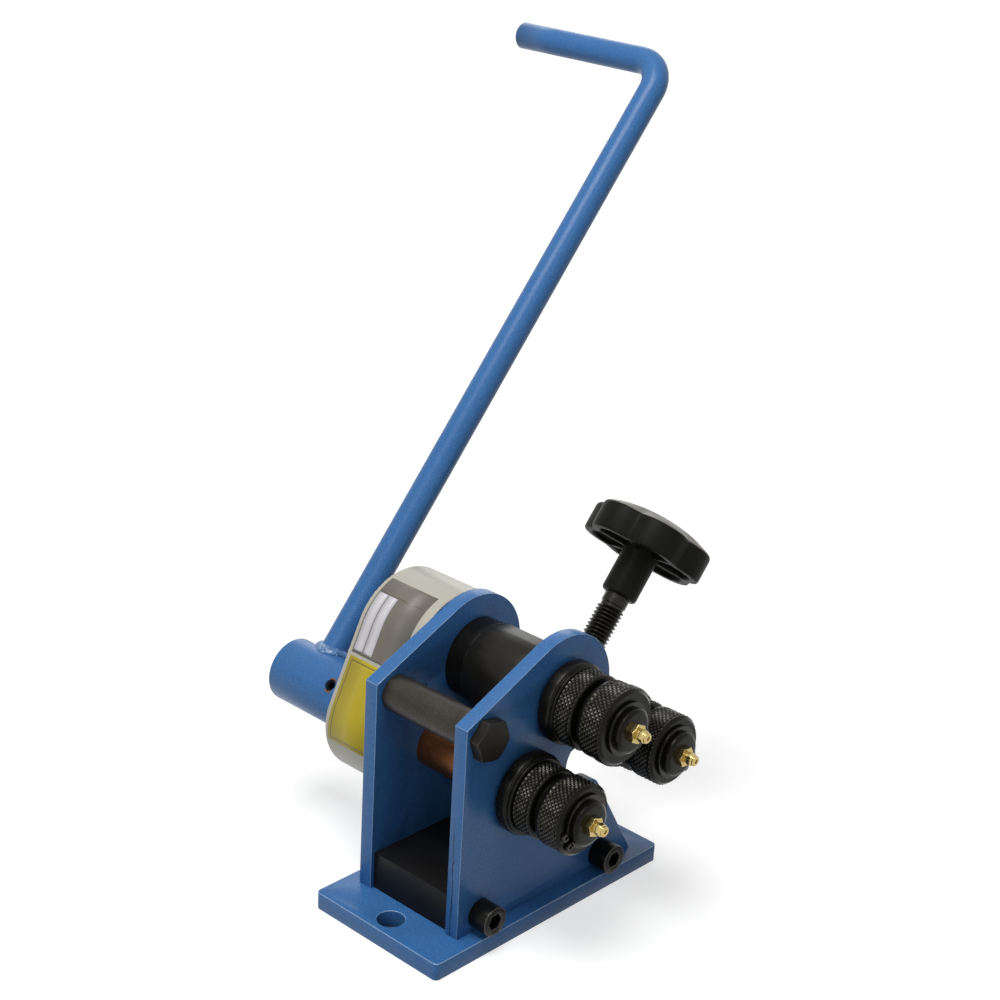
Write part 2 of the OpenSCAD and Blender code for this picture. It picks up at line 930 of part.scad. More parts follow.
module gear(at, lead) {
    difference() {
        slab(gear_y, gear_end_y)
            translate(at)
                gear_outline(lead);
        bar(at, gear_y - cut, gear_end_y + cut, journal_r + snug);
        key_room(at, snug);
    }
}

module lower_gear() {
    color(steel)
        gear(lower, pinch_angle);
}

module upper_gear() {
    color(steel)
        gear(upper, pinch_angle + 180 + gear_pitch_angle / 2);
}

module lower_key() {
    color("silver")
        key_room(lower, 0);
}

module upper_key() {
    color("silver")
        key_room(upper, 0);
}

set_screw_r = 3;
set_screw_inset = 9.8;
set_screw_angle = 138;

// Moves a child so that its Z points out of the hub at the set screw
module at_set_screw() {
    translate([lower[0], hub_front + set_screw_inset, lower[1]])
        rotate([0, 90 - set_screw_angle, 0])
            children();
}

module crank_hub() {
    color(blue)
        difference() {
            bar(lower, hub_front, hub_rear, hub_d / 2);
            bar(lower, hub_front - cut, hub_rear - 6 + snug, crank_seat_r + snug);
            at_set_screw()
                cylinder(h = hub_d, r = set_screw_r + snug);
        }
}

module crank_set_screw() {
    color(black)
        at_set_screw()
            translate([0, 0, crank_seat_r + 0.1])
                difference() {
                    cylinder(h = hub_d / 2 - crank_seat_r - 1.4, r = set_screw_r);
                    translate([0, 0, 2])
                        hex_socket(3.6, hub_d);
                }
}

// Moves a child into the crank's own axes: Z along the rod, X along the grip
module on_crank() {
    translate([lower[0], rod_y, lower[1]])
        rotate([0, 90 - crank_angle, 0])
            rotate([0, 0, 90])
                children();
}

// Bevel on the grip's end
grip_bevel = 1.5;

// One bent round bar: rod, bend and grip, with its foot cut to sit on the hub
module crank_rod() {
    rod_r = rod_d / 2;
    color(blue)
        difference() {
            on_crank() {
                cylinder(h = crank_throw - rod_bend_r, r = rod_r);
                translate([rod_bend_r, 0, crank_throw - rod_bend_r])
                    rotate([90, 0, 0])
                        rotate([0, 0, 90])
                            rotate_extrude(angle = 90)
                                translate([rod_bend_r, 0])
                                    circle(rod_r);
                translate([rod_bend_r, 0, crank_throw])
                    rotate([0, 90, 0])
                        cylinder(h = grip_l - rod_bend_r - grip_bevel, r = rod_r);
                translate([grip_l - grip_bevel, 0, crank_throw])
                    rotate([0, 90, 0])
                        cylinder(h = grip_bevel, r1 = rod_r, r2 = rod_r - grip_bevel);
            }
            bar(lower, hub_front - cut, hub_rear + cut, hub_d / 2);
        }
}

weld_r = 3;

module crank_weld() {
    color(blue)
        difference() {
            on_crank()
                translate([0, 0, hub_d / 2 + 0.2])
                    rotate_extrude()
                        translate([rod_d / 2 + 0.2, 0])
                            circle(weld_r);
            on_crank()
                cylinder(h = hub_d * 2, r = rod_d / 2);
            bar(lower, hub_front - cut, hub_rear + cut, hub_d / 2);
        }
}

// Outline of the arm's block in the arm's own axes, from a place along the arm
module block_outline(start) {
    tip = screw_reach + arm_end;
    top = arm_hub_r - arm_step;
    polygon([
        [start, -top],
        [third_on_arm[0] - boss_r - 1, -top],
        [third_on_arm[0] + boss_r - 5, -block_below],
        [tip, -block_below],
        [tip, top - arm_bevel],
        [tip - arm_bevel, top],
        [start, top]
    ]);
}

block_below = 9.8;
// Step from the hub's round down to the block's flats, and the bevel at the block's top end
arm_step = 0.4;
arm_bevel = 4;
hub_flat_turn = 26;
hub_flat_depth = arm_hub_r - sqrt(arm_hub_r * arm_hub_r - hub_flat_w * hub_flat_w / 4);

// Arm that carries the third roll and the adjusting screw, and swings on the upper shaft
module swing_arm() {
    color(black)
        difference() {
            union() {
                bar(upper, arm_nose_y, arm_hub_end, arm_hub_r);
                bar(third, arm_nose_y, arm_front + 2 * cut, boss_r);
                on_arm() {
                    slab(arm_front, arm_hub_end - arm_step)
                        block_outline(0);
                    slab(arm_hub_end - cut, arm_rear)
                        block_outline(washer_r + 1.5);
                }
            }
            bar(upper, arm_nose_y - cut, arm_hub_end + cut, bush_r + snug);
            bar(third, arm_nose_y - cut, third_pocket_y + cut, third_bush_r + snug);
            bar(third, third_pocket_y, arm_rear + cut, third_pocket_r);
            on_arm() {
                translate([screw_reach, screw_y, -arm_hub_r - cut])
                    cylinder(h = 2 * arm_hub_r + 2 * cut, r = thread_r + running);
                rotate([0, -hub_flat_turn, 0])
                    translate([-arm_hub_r, arm_nose_y - cut, arm_hub_r - hub_flat_depth])
                        cube([2 * arm_hub_r, arm_hub_end - arm_nose_y + 2 * cut, arm_hub_r]);
            }
        }
}

third_bush_r = third_journal_r + 1.5;

module arm_bush() {
    color(bronze)
        ring(upper, arm_nose_y, arm_hub_end, bush_r, journal_r + running);
}

module third_bush() {
    color(bronze)
        ring(third, arm_nose_y, third_pocket_y, third_bush_r, third_journal_r + running);
}

tip_r = 4;
tip_l = 5;
foot_top = 6;
// Length of the stud's neck inside the knob
neck_in_knob = 10;

// Domed foot that stays still on the stop while the screw turns in it
module thrust_foot() {
    color(steel)
        on_arm()
            translate([screw_reach, screw_y, -foot_depth])
                difference() {
                    union() {
                        sphere(foot_r);
                        cylinder(h = foot_top, r = foot_r);
                    }
                    translate([0, 0, foot_top - tip_l])
                        cylinder(h = foot_r + cut, r = tip_r + running);
                }
}

// Threaded stud: journal in the foot, thread up to a plain neck in the knob
module adjusting_screw() {
    start = foot_top - foot_depth;
    turns = floor((neck_z - start - 2) / thread_pitch);
    neck_r = thread_r - 0.6;
    color(steel)
        on_arm()
            translate([screw_reach, screw_y, 0])
                rotate_extrude()
                    polygon(concat(
                        [[0, start - tip_l + 0.2], [tip_r, start - tip_l + 0.2], [tip_r, start + side_gap],
                            [thread_r - 1, start + side_gap], [thread_r, start + side_gap + 1]],
                        [for (i = [turns:-1:1], k = [0:2])
                            let (z = neck_z - i * thread_pitch)
                                k == 0 ? [thread_r, z + 0.12 * thread_pitch]
                                : k == 1 ? [thread_r - thread_depth, z + thread_pitch / 2]
                                : [thread_r, z + 0.88 * thread_pitch]],
                        [[neck_r, neck_z + side_gap], [neck_r, knob_t + neck_in_knob], [0, knob_t + neck_in_knob]]
                    ));
}

// Angle of the first lobe about the screw
lobe_turn = 45.7;

// Lobed outline of the knob
module knob_outline(r, lobe) {
    circle(0.72 * r);
    for (k = [0:knob_lobes - 1])
        rotate(lobe_turn + k * 360 / knob_lobes)
            translate([r - lobe, 0])
                circle(lobe);
}

// Moulded star knob: domed top, hollow ribbed underside, long hub
module adjusting_knob() {
    rim_t = knob_t + knob_hub_l;
    dome_r = (knob_r * knob_r + knob_dome * knob_dome) / (2 * knob_dome);
    wall = 3;
    recess = 9;
    bore_r = thread_r - 0.6 + snug;
    color(black)
        on_arm()
            translate([screw_reach, screw_y, 0])
                difference() {
                    union() {
                        difference() {
                            intersection() {
                                translate([0, 0, rim_t])
                                    linear_extrude(knob_h + knob_dome)
                                        knob_outline(knob_r, lobe_r);
                                translate([0, 0, rim_t + knob_h + knob_dome - dome_r])
                                    sphere(dome_r, $fn = 128);
                            }
                            translate([0, 0, rim_t - cut])
                                linear_extrude(recess + cut)
                                    knob_outline(knob_r - wall, lobe_r - wall);
                        }
                        translate([0, 0, knob_t])
                            cylinder(h = knob_hub_l + recess + 1, r = knob_hub_r);
                        for (k = [0:knob_lobes - 1])
                            rotate(lobe_turn + (k + 0.5) * 360 / knob_lobes)
                                translate([0, -wall / 4, rim_t + 1])
                                    cube([0.8 * knob_r, wall / 2, recess]);
                    }
                    translate([0, 0, knob_t - cut])
                        cylinder(h = neck_in_knob + 2 * cut, r = bore_r);
                }
}

base_plate();
front_side_plate();
rear_side_plate();
spacer_block();
block_screws();
base_screws();
stop_block();
stop_screws();
tie_tube();
tie_bolt();
lower_bush();
upper_bushes();
arm_washer();
gear_cover();
cover_screws();
lower_shaft();
lower_flange();
lower_ring();
lower_slot_ring();
lower_sleeve();
lower_clip();
lower_nipple();
lower_gear();
lower_key();
crank_hub();
crank_rod();
crank_weld();
crank_set_screw();
upper_shaft();
upper_flange();
upper_ring();
upper_slot_ring();
upper_sleeve();
upper_clip();
upper_nipple();
upper_gear();
upper_key();
swing_arm();
arm_bush();
third_bush();
third_shaft();
third_flange();
third_ring();
third_slot_ring();
third_sleeve();
third_clip();
third_nipple();
third_rear_clip();
thrust_foot();
adjusting_screw();
adjusting_knob();
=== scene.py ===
import math

import bmesh
import bpy
from mathutils import Matrix, Vector


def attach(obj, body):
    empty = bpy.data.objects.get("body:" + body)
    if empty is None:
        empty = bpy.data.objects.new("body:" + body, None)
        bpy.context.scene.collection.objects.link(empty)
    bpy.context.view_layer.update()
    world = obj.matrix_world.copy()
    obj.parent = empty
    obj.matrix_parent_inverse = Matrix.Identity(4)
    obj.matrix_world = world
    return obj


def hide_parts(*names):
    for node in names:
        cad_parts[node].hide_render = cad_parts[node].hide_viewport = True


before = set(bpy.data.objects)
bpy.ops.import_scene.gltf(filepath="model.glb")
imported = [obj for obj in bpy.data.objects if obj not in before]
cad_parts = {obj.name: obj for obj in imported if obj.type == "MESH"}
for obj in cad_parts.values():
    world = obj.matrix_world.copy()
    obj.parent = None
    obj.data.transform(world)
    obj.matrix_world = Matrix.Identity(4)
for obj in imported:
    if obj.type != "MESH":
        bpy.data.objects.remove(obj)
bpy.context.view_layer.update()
MM = 0.001

# Camera, floor and light.
# The camera stands in front of the bender, to its left and a little above it, turned
# slightly about its own axis. The floor and the surroundings are plain and near white.
AZIMUTH, ELEVATION, ROLL = (math.radians(a) for a in (-47.556, 22.066, 3.252))
TARGET = Vector((-11.05, -2.47, 198.71)) * MM
DISTANCE = 892.62 * MM
LENS, SENSOR = 74.48, 36
NEAR, FAR = 0.01, 20
back = Vector((math.sin(AZIMUTH) * math.cos(ELEVATION), -math.cos(AZIMUTH) * math.cos(ELEVATION),
               math.sin(ELEVATION)))
level = Vector((math.cos(AZIMUTH), math.sin(AZIMUTH), 0))
upward = back.cross(level)
right = level * math.cos(ROLL) + upward * math.sin(ROLL)
above = -level * math.sin(ROLL) + upward * math.cos(ROLL)
camera_data = bpy.data.cameras.new("camera")
camera_data.lens = LENS
camera_data.sensor_width = SENSOR
camera_data.clip_start = NEAR
camera_data.clip_end = FAR
camera = bpy.data.objects.new("camera", camera_data)
camera.matrix_world = (Matrix.Translation(TARGET + back * DISTANCE)
                       @ Matrix((right, above, back)).transposed().to_4x4())
bpy.context.scene.collection.objects.link(camera)
bpy.context.scene.camera = camera
bpy.context.scene.view_settings.view_transform = "Standard"


def add(tree, kind, sockets=None, **settings):
    """Adds one shader node, sets it up, and fills or links its sockets."""
    made = tree.nodes.new(kind)
    for name, value in settings.items():
        setattr(made, name, value)
    for name, value in (sockets or {}).items():
        if isinstance(value, bpy.types.NodeSocket):
            tree.links.new(value, made.inputs[name])
        else:
            made.inputs[name].default_value = value
    return made


def maths(tree, operation, *values):
    """Output of one math node over other nodes' outputs."""
    made = add(tree, "ShaderNodeMath", operation=operation)
    for index, value in enumerate(values):
        tree.links.new(value, made.inputs[index])
    return made.outputs[0]


def seen_as_white(tree):
    """1 where the camera sees a surface itself, in a mirror or through glass, and 0 elsewhere."""
    path = add(tree, "ShaderNodeLightPath")
    mirrored = maths(tree, "MAXIMUM", path.outputs["Is Camera Ray"], path.outputs["Is Glossy Ray"])
    return maths(tree, "MAXIMUM", mirrored, path.outputs["Is Transmission Ray"])


FLOOR_HALF = 6
UNDER_HALF_X, UNDER_HALF_Y, UNDER_LIFT = 0.072, 0.033, 0.0001


def level_sheet(name, half_x, half_y, height, paper):
    """Flat level sheet of the set."""
    bm = bmesh.new()
    bmesh.ops.create_grid(bm, x_segments=1, y_segments=1, size=1)
    bmesh.ops.scale(bm, vec=(half_x, half_y, 1), verts=bm.verts)
    bmesh.ops.translate(bm, vec=(0, 0, height), verts=bm.verts)
    mesh = bpy.data.meshes.new(name)
    bm.to_mesh(mesh)
    bm.free()
    mesh.materials.append(paper)
    sheet = bpy.data.objects.new(name, mesh)
    bpy.context.scene.collection.objects.link(sheet)
    return sheet


def studio_floor():
    """Pale floor that the camera sees as near white, with the bender's shadow kept.

    Its glow rises with the distance, and a dark sheet lies under the base, where no light gets in.
    """
    paper = bpy.data.materials.new("studio_paper")
    paper.use_nodes = True
    tree = paper.node_tree
    tree.nodes.clear()
    dull = add(tree, "ShaderNodeBsdfDiffuse", {"Color": (0.55, 0.55, 0.55, 1)})
    where = add(tree, "ShaderNodeTexCoord")
    away = add(tree, "ShaderNodeVectorMath", operation="LENGTH")
    tree.links.new(where.outputs["Object"], away.inputs[0])
    rise = add(tree, "ShaderNodeMapRange", {"Value": away.outputs["Value"], "From Min": 0.25,
                                            "From Max": 1.3, "To Min": 0.62, "To Max": 0.93})
    glow = add(tree, "ShaderNodeEmission", {"Color": (1, 1, 1, 1), "Strength": rise.outputs["Result"]})
    both = add(tree, "ShaderNodeAddShader")
    tree.links.new(dull.outputs[0], both.inputs[0])
    tree.links.new(glow.outputs[0], both.inputs[1])
    mix = add(tree, "ShaderNodeMixShader", {"Fac": seen_as_white(tree)})
    tree.links.new(dull.outputs[0], mix.inputs[1])
    tree.links.new(both.outputs[0], mix.inputs[2])
    out = add(tree, "ShaderNodeOutputMaterial")
    tree.links.new(mix.outputs[0], out.inputs["Surface"])
    floor = level_sheet("studio_floor", FLOOR_HALF, FLOOR_HALF, 0, paper)
    shade = bpy.data.materials.new("shaded_paper")
    shade.use_nodes = True
    surface = shade.node_tree.nodes["Principled BSDF"]
    surface.inputs["Base Color"].default_value = (0.05, 0.05, 0.05, 1)
    surface.inputs["Roughness"].default_value = 0.9
    under = level_sheet("floor_under_base", UNDER_HALF_X, UNDER_HALF_Y, UNDER_LIFT, shade)


studio_floor()


def studio_world():
    """White surroundings for the camera and for reflections, dimmer as a light."""
    world = bpy.data.worlds.new("studio")
    world.use_nodes = True
    tree = world.node_tree
    tree.nodes.clear()
    plain = add(tree, "ShaderNodeBackground", {"Color": (1, 1, 1, 1), "Strength": 0.17})
    white = add(tree, "ShaderNodeBackground", {"Color": (1, 1, 1, 1), "Strength": 1.0})
    mix = add(tree, "ShaderNodeMixShader", {"Fac": seen_as_white(tree)})
    tree.links.new(plain.outputs[0], mix.inputs[1])
    tree.links.new(white.outputs[0], mix.inputs[2])
    out = add(tree, "ShaderNodeOutputWorld")
    tree.links.new(mix.outputs[0], out.inputs["Surface"])
    bpy.context.scene.world = world


studio_world()


LAMPS_AIM = Vector((0, 0, 0.12))


def soft_box(name, place, size, power):
    """Square lamp that faces the middle of the bender."""
    lamp = bpy.data.lights.new(name, "AREA")
    lamp.shape = "SQUARE"
    lamp.size = size
    lamp.energy = power
    holder = bpy.data.objects.new(name, lamp)
    aim = Vector(place) - LAMPS_AIM
    holder.matrix_world = Matrix.Translation(place) @ aim.to_track_quat("Z", "Y").to_matrix().to_4x4()
    bpy.context.scene.collection.objects.link(holder)


soft_box("top_box", (-0.30, 0.0, 1.25), 0.6, 11.8)
soft_box("left_box", (-1.2, -0.10, 0.85), 0.6, 3.6)
soft_box("front_box", (-0.22, -0.96, 1.16), 0.24, 0.8)
soft_box("rear_box", (1.0, 1.0, 0.55), 0.7, 2.0)

# Base and side plates.
# Thick steel plates, flame cut and ground, then painted in light blue gloss enamel. The
# side plates stand on the base and are pulled against the spacer block by two cap screws.


def grain_group():
    """Fine uneven skin of a finish: a smooth mask, a fine mask and a bumpy normal."""
    tree = bpy.data.node_groups.new("uneven_skin", "ShaderNodeTree")
    face = tree.interface
    for name, value in (("Patch Scale", 40.0), ("Fine Scale", 900.0), ("Height", 0.00002)):
        face.new_socket(name, in_out="INPUT", socket_type="NodeSocketFloat").default_value = value
    for name in ("Patches", "Fine"):
        face.new_socket(name, in_out="OUTPUT", socket_type="NodeSocketFloat")
    face.new_socket("Normal", in_out="OUTPUT", socket_type="NodeSocketVector")
    start = add(tree, "NodeGroupInput")
    where = add(tree, "ShaderNodeTexCoord")
    patches = add(tree, "ShaderNodeTexNoise", {
        "Vector": where.outputs["Object"], "Scale": start.outputs["Patch Scale"],
        "Detail": 4.0, "Roughness": 0.55})
    fine = add(tree, "ShaderNodeTexNoise", {
        "Vector": where.outputs["Object"], "Scale": start.outputs["Fine Scale"],
        "Detail": 3.0, "Roughness": 0.6})
    bump = add(tree, "ShaderNodeBump", {
        "Height": fine.outputs["Fac"], "Distance": start.outputs["Height"], "Strength": 1.0})
    end = add(tree, "NodeGroupOutput")
    tree.links.new(patches.outputs["Fac"], end.inputs["Patches"])
    tree.links.new(fine.outputs["Fac"], end.inputs["Fine"])
    tree.links.new(bump.outputs["Normal"], end.inputs["Normal"])
    return tree


uneven_skin = grain_group()


def finish_of(name, dark, light, rough, metal=0.0, patch=40.0, fine=900.0, height=0.00002, coat=0.0,
              specular=0.5, coat_rough=0.12):
    """Material whose colour drifts between two tones and whose gloss drifts between two values."""
    material = bpy.data.materials.new(name)
    material.use_nodes = True
    tree = material.node_tree
    surface = tree.nodes["Principled BSDF"]
    skin = add(tree, "ShaderNodeGroup", node_tree=uneven_skin)
    skin.inputs["Patch Scale"].default_value = patch
    skin.inputs["Fine Scale"].default_value = fine
    skin.inputs["Height"].default_value = height
    tone = add(tree, "ShaderNodeMix", {"Factor": skin.outputs["Patches"]}, data_type="RGBA")
    tone.inputs["A"].default_value = (*dark, 1)
    tone.inputs["B"].default_value = (*light, 1)
    gloss = add(tree, "ShaderNodeMapRange", {"Value": skin.outputs["Fine"], "From Min": 0.3, "From Max": 0.7,
                                             "To Min": rough[0], "To Max": rough[1]})
    tree.links.new(tone.outputs["Result"], surface.inputs["Base Color"])
    tree.links.new(gloss.outputs["Result"], surface.inputs["Roughness"])
    tree.links.new(skin.outputs["Normal"], surface.inputs["Normal"])
    surface.inputs["Metallic"].default_value = metal
    surface.inputs["Coat Weight"].default_value = coat
    surface.inputs["Coat Roughness"].default_value = coat_rough
    surface.inputs["Specular IOR Level"].default_value = specular
    return material


def tint(material, mask, colour):
    """Lays another colour over a finish's own where the mask is 1."""
    tree = material.node_tree
    surface = tree.nodes["Principled BSDF"]
    under = surface.inputs["Base Color"].links[0].from_socket
    tone = add(tree, "ShaderNodeMix", {"Factor": mask, "A": under}, data_type="RGBA")
    tone.inputs["B"].default_value = (*colour, 1)
    tree.links.new(tone.outputs["Result"], surface.inputs["Base Color"])


def fade(tree, value, low, high):
    """Mask that is 1 up to the low value and falls to 0 at the high one."""
    return add(tree, "ShaderNodeMapRange", {"Value": value, "From Min": low, "From Max": high,
                                            "To Min": 1.0, "To Max": 0.0}).outputs["Result"]


def add_specks(material, colour, scale, size):
    """Scatters small specks of another colour over a finish: dust and chips on the paints, painted glints on
    the tube and the weld.
    """
    tree = material.node_tree
    where = add(tree, "ShaderNodeTexCoord")
    cells = add(tree, "ShaderNodeTexVoronoi", {
        "Vector": where.outputs["Object"], "Scale": scale, "Randomness": 1.0})
    tint(material, fade(tree, cells.outputs["Distance"], size * 0.6, size), colour)


def speckled_blue(name):
    """Light blue enamel with a fine orange peel, dust and a few pale chips."""
    material = finish_of(name, (0.032, 0.124, 0.318), (0.041, 0.144, 0.358), (0.28, 0.42), patch=30.0,
                         fine=1000.0, height=0.00005, coat=0.15, specular=0.15, coat_rough=0.25)
    add_specks(material, (0.055, 0.172, 0.395), 900.0, 0.36)
    add_specks(material, (0.12, 0.25, 0.46), 200.0, 0.05)
    return material


blue_enamel = speckled_blue("blue_enamel")
flame_cut_blue = speckled_blue("flame_cut_blue")
SEAM_Y, SEAM_X, SEAM_Z = (-0.0286, -0.0258), (-0.0548, -0.0542), (0.058, 0.070)
SEAM_HALF = (0.00012, 0.0004)


def add_cut_seam(material):
    """Dark crack in the paint along the middle of the plate's flame-cut left edge."""
    tree = material.node_tree
    where = add(tree, "ShaderNodeTexCoord")
    place = add(tree, "ShaderNodeSeparateXYZ", {"Vector": where.outputs["Object"]})
    wander = add(tree, "ShaderNodeTexNoise", {
        "Vector": where.outputs["Object"], "Scale": 140.0, "Detail": 5.0})
    course = add(tree, "ShaderNodeMapRange", {
        "Value": wander.outputs["Fac"], "To Min": SEAM_Y[0], "To Max": SEAM_Y[1]})
    away = maths(tree, "ABSOLUTE", maths(tree, "SUBTRACT", place.outputs["Y"], course.outputs["Result"]))
    line = fade(tree, away, *SEAM_HALF)
    on_side = maths(tree, "MULTIPLY", line, fade(tree, place.outputs["X"], *SEAM_X))
    crack = maths(tree, "MULTIPLY", on_side, fade(tree, place.outputs["Z"], *SEAM_Z))
    tint(material, crack, (0.008, 0.016, 0.035))


add_cut_seam(flame_cut_blue)


def placed(bm, name, body, material, nodes=(), ease=0.0, steps=2, edge=None):
    """Makes one piece of a bmesh: eased edges, its finish, its body and the node that it stands for."""
    mesh = bpy.data.meshes.new(name)
    bm.to_mesh(mesh)
    bm.free()
    for face in mesh.polygons:
        face.use_smooth = True
    mesh.materials.append(material)
    if edge:
        mesh.materials.append(edge)
    made = bpy.data.objects.new(name, mesh)
    bpy.context.scene.collection.objects.link(made)
    if ease:
        bevel = made.modifiers.new("eased_edges", "BEVEL")
        bevel.width = ease * MM
        bevel.segments = steps
        bevel.limit_method = "ANGLE"
        bevel.angle_limit = math.radians(28)
        bevel.harden_normals = True
        bevel.use_clamp_overlap = True
        bevel.material = 1 if edge else -1
    else:
        mesh.set_sharp_from_angle(angle=math.radians(35))
    if nodes:
        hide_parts(*nodes)
    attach(made, body)
    return made


def merged_copy(node):
    """bmesh of a CAD node's surface with its loose triangles joined up and its flats made whole."""
    bm = bmesh.new()
    bm.from_mesh(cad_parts[node].data)
    bmesh.ops.remove_doubles(bm, verts=bm.verts, dist=0.000002)
    bmesh.ops.dissolve_limit(bm, angle_limit=math.radians(0.5), verts=bm.verts, edges=bm.edges)
    return bm


PLATES_OUT, PLATES_IN = 31.55, 24.25
# Paler, glossier blue on the bevelled edges of the base and plates: a painted highlight along the edges.
blue_edge_highlight = finish_of("blue_enamel_painted_edge_highlight", (0.045, 0.150, 0.350), (0.300, 0.460, 0.680), (0.12, 0.28),
                      patch=420.0, fine=900.0, height=0.00012, coat=1.0, specular=0.5)
for plate, paint, ease in (("base_plate", blue_enamel, 1.2), ("front_side_plate", flame_cut_blue, 0.5),
                           ("rear_side_plate", blue_enamel, 0.5)):
    placed(merged_copy(plate), plate + "_eased", "frame", paint, (plate,), ease=ease,
           steps=3, edge=blue_edge_highlight)

# Spacer block, stop and screws.
# A sawn and milled steel block, blackened and oiled, with a hardened stop screwed on top. Long
# socket-head screws pass through both plates and the block; countersunk screws hold it to the
# base from underneath. The cover's screws are zinc plated.
black_block = finish_of("blackened_block", (0.006, 0.006, 0.0065), (0.012, 0.012, 0.0125), (0.36, 0.50),
                        metal=0.3, patch=55.0, fine=1500.0, height=0.00001, specular=0.15)
placed(merged_copy("spacer_block"), "spacer_block_eased", "frame", black_block,
       ("spacer_block",), ease=0.6)
black_screw = finish_of("blackened_screw", (0.005, 0.005, 0.0049), (0.010, 0.0097, 0.009), (0.26, 0.38),
                        metal=0.35, patch=160.0, fine=2200.0, height=0.000006, specular=0.1)
# Lighter colour on the screws' bevelled edges: a painted highlight on their rims.
black_screw_edge_highlight = finish_of("black_screw_painted_edge_highlight", (0.012, 0.0115, 0.0100), (0.105, 0.098, 0.084), (0.22, 0.36),
                         metal=0.7, patch=380.0, fine=2200.0, height=0.000006, specular=0.2)
for screws in ("block_screws", "stop_screws"):
    placed(merged_copy(screws), screws + "_eased", "frame", black_screw, (screws,),
           ease=0.6, edge=black_screw_edge_highlight)
zinc = finish_of("bright_zinc", (0.55, 0.55, 0.56), (0.68, 0.68, 0.69), (0.25, 0.38), metal=1.0, patch=200.0,
                 fine=2400.0, height=0.000004)
bare_steel = finish_of("oiled_steel", (0.20, 0.19, 0.175), (0.30, 0.285, 0.265), (0.28, 0.42), metal=0.85,
                       patch=120.0, fine=1800.0, height=0.000006)
for name, slot, finish, ease in (("base_screws", "bare_steel", bare_steel, 0.2),
                                 ("cover_screws", "zinc_screws", zinc, 0.5),
                                 ("stop_block", "bare_steel", bare_steel, 0.5)):
    placed(merged_copy(name), name + "_eased", "frame", finish, (name,), ease=ease)

# Tie rod.
# A length of thick-walled steel tube spaces the plates at the top left. A hexagon-head
# bolt goes through it from the front and pulls the plates onto its ends.
TIE = (-43.5, 106.2)
BOLT_ACROSS, BOLT_HEAD, BOLT_TURN = 17.8, 6.0, 19
BOLT_R, BOLT_LONG, BOLT_SUNK = 5, 62.1, 0.5


def turned(at, outline, steps=96):
    """Lathe shape about a line along Y: outline holds (radius, y) corners in mm, closed on itself."""
    bm = bmesh.new()
    corners = [bm.verts.new(Vector((at[0] + r, y, at[1])) * MM) for r, y in outline]
    sides = [bm.edges.new((corners[i - 1], corners[i])) for i in range(len(corners))]
    bmesh.ops.spin(bm, geom=corners + sides, cent=Vector((at[0], 0, at[1])) * MM, axis=(0, 1, 0),
                   angle=math.tau, steps=steps, use_merge=True)
    bmesh.ops.remove_doubles(bm, verts=bm.verts, dist=0.0000005)
    bmesh.ops.dissolve_degenerate(bm, edges=bm.edges, dist=0.0000001)
    bmesh.ops.recalc_face_normals(bm, faces=bm.faces)
    return bm


def tube_outline(inner, outer, y0, y1):
    """Corners of a plain ring between two faces."""
    return [(inner, y0), (outer, y0), (outer, y1), (inner, y1)]


def join_in(whole, part):
    """Moves one bmesh's surface into another."""
    mesh = bpy.data.meshes.new("part")
    part.to_mesh(mesh)
    part.free()
    whole.from_mesh(mesh)
    bpy.data.meshes.remove(mesh)


browned_steel = finish_of("browned_tube", (0.017, 0.0145, 0.0108), (0.042, 0.036, 0.027), (0.34, 0.44),
                          metal=0.6, patch=90.0, fine=1100.0, height=0.000001)
# Pale specks on the tube: painted glints of light.
add_specks(browned_steel, (0.22, 0.20, 0.17), 1700.0, 0.17)
placed(turned(TIE, tube_outline(5.02, 8.6, -PLATES_IN, PLATES_IN)), "tie_tube_turned", "frame",
       browned_steel, ("tie_tube",), ease=0.5)


def hexagon_bolt_head(bm, at, face_y, height, across, turn):
    """Hexagon head with its corners turned off at the front, as a forged bolt's are."""
    made = bmesh.ops.create_circle(bm, cap_ends=True, segments=6, radius=across / math.sqrt(3) * MM)
    top = [f for f in bm.faces if all(v in made["verts"] for v in f.verts)]
    grown = bmesh.ops.extrude_face_region(bm, geom=top)["geom"]
    raised = [g for g in grown if isinstance(g, bmesh.types.BMVert)]
    bmesh.ops.translate(bm, verts=raised, vec=(0, 0, height * MM))
    crown = [g for g in grown if isinstance(g, bmesh.types.BMFace)]
    bmesh.ops.subdivide_edges(bm, edges=list(crown[0].edges), cuts=5, use_grid_fill=False)
    rim = {v for v in bm.verts if v.co.z > height * MM * 0.99}
    for v in rim:
        spread = v.co.xy.length
        v.co.z -= max(0.0, spread - across * 0.475 * MM) * 0.55
    spin = Matrix.Rotation(math.radians(turn), 3, "Z")
    bmesh.ops.rotate(bm, verts=bm.verts, cent=(0, 0, 0), matrix=spin)
    bmesh.ops.rotate(bm, verts=bm.verts, cent=(0, 0, 0), matrix=Matrix.Rotation(math.radians(90), 3, "X"))
    bmesh.ops.translate(bm, verts=bm.verts, vec=Vector((at[0], face_y, at[1])) * MM)
    bmesh.ops.recalc_face_normals(bm, faces=bm.faces)


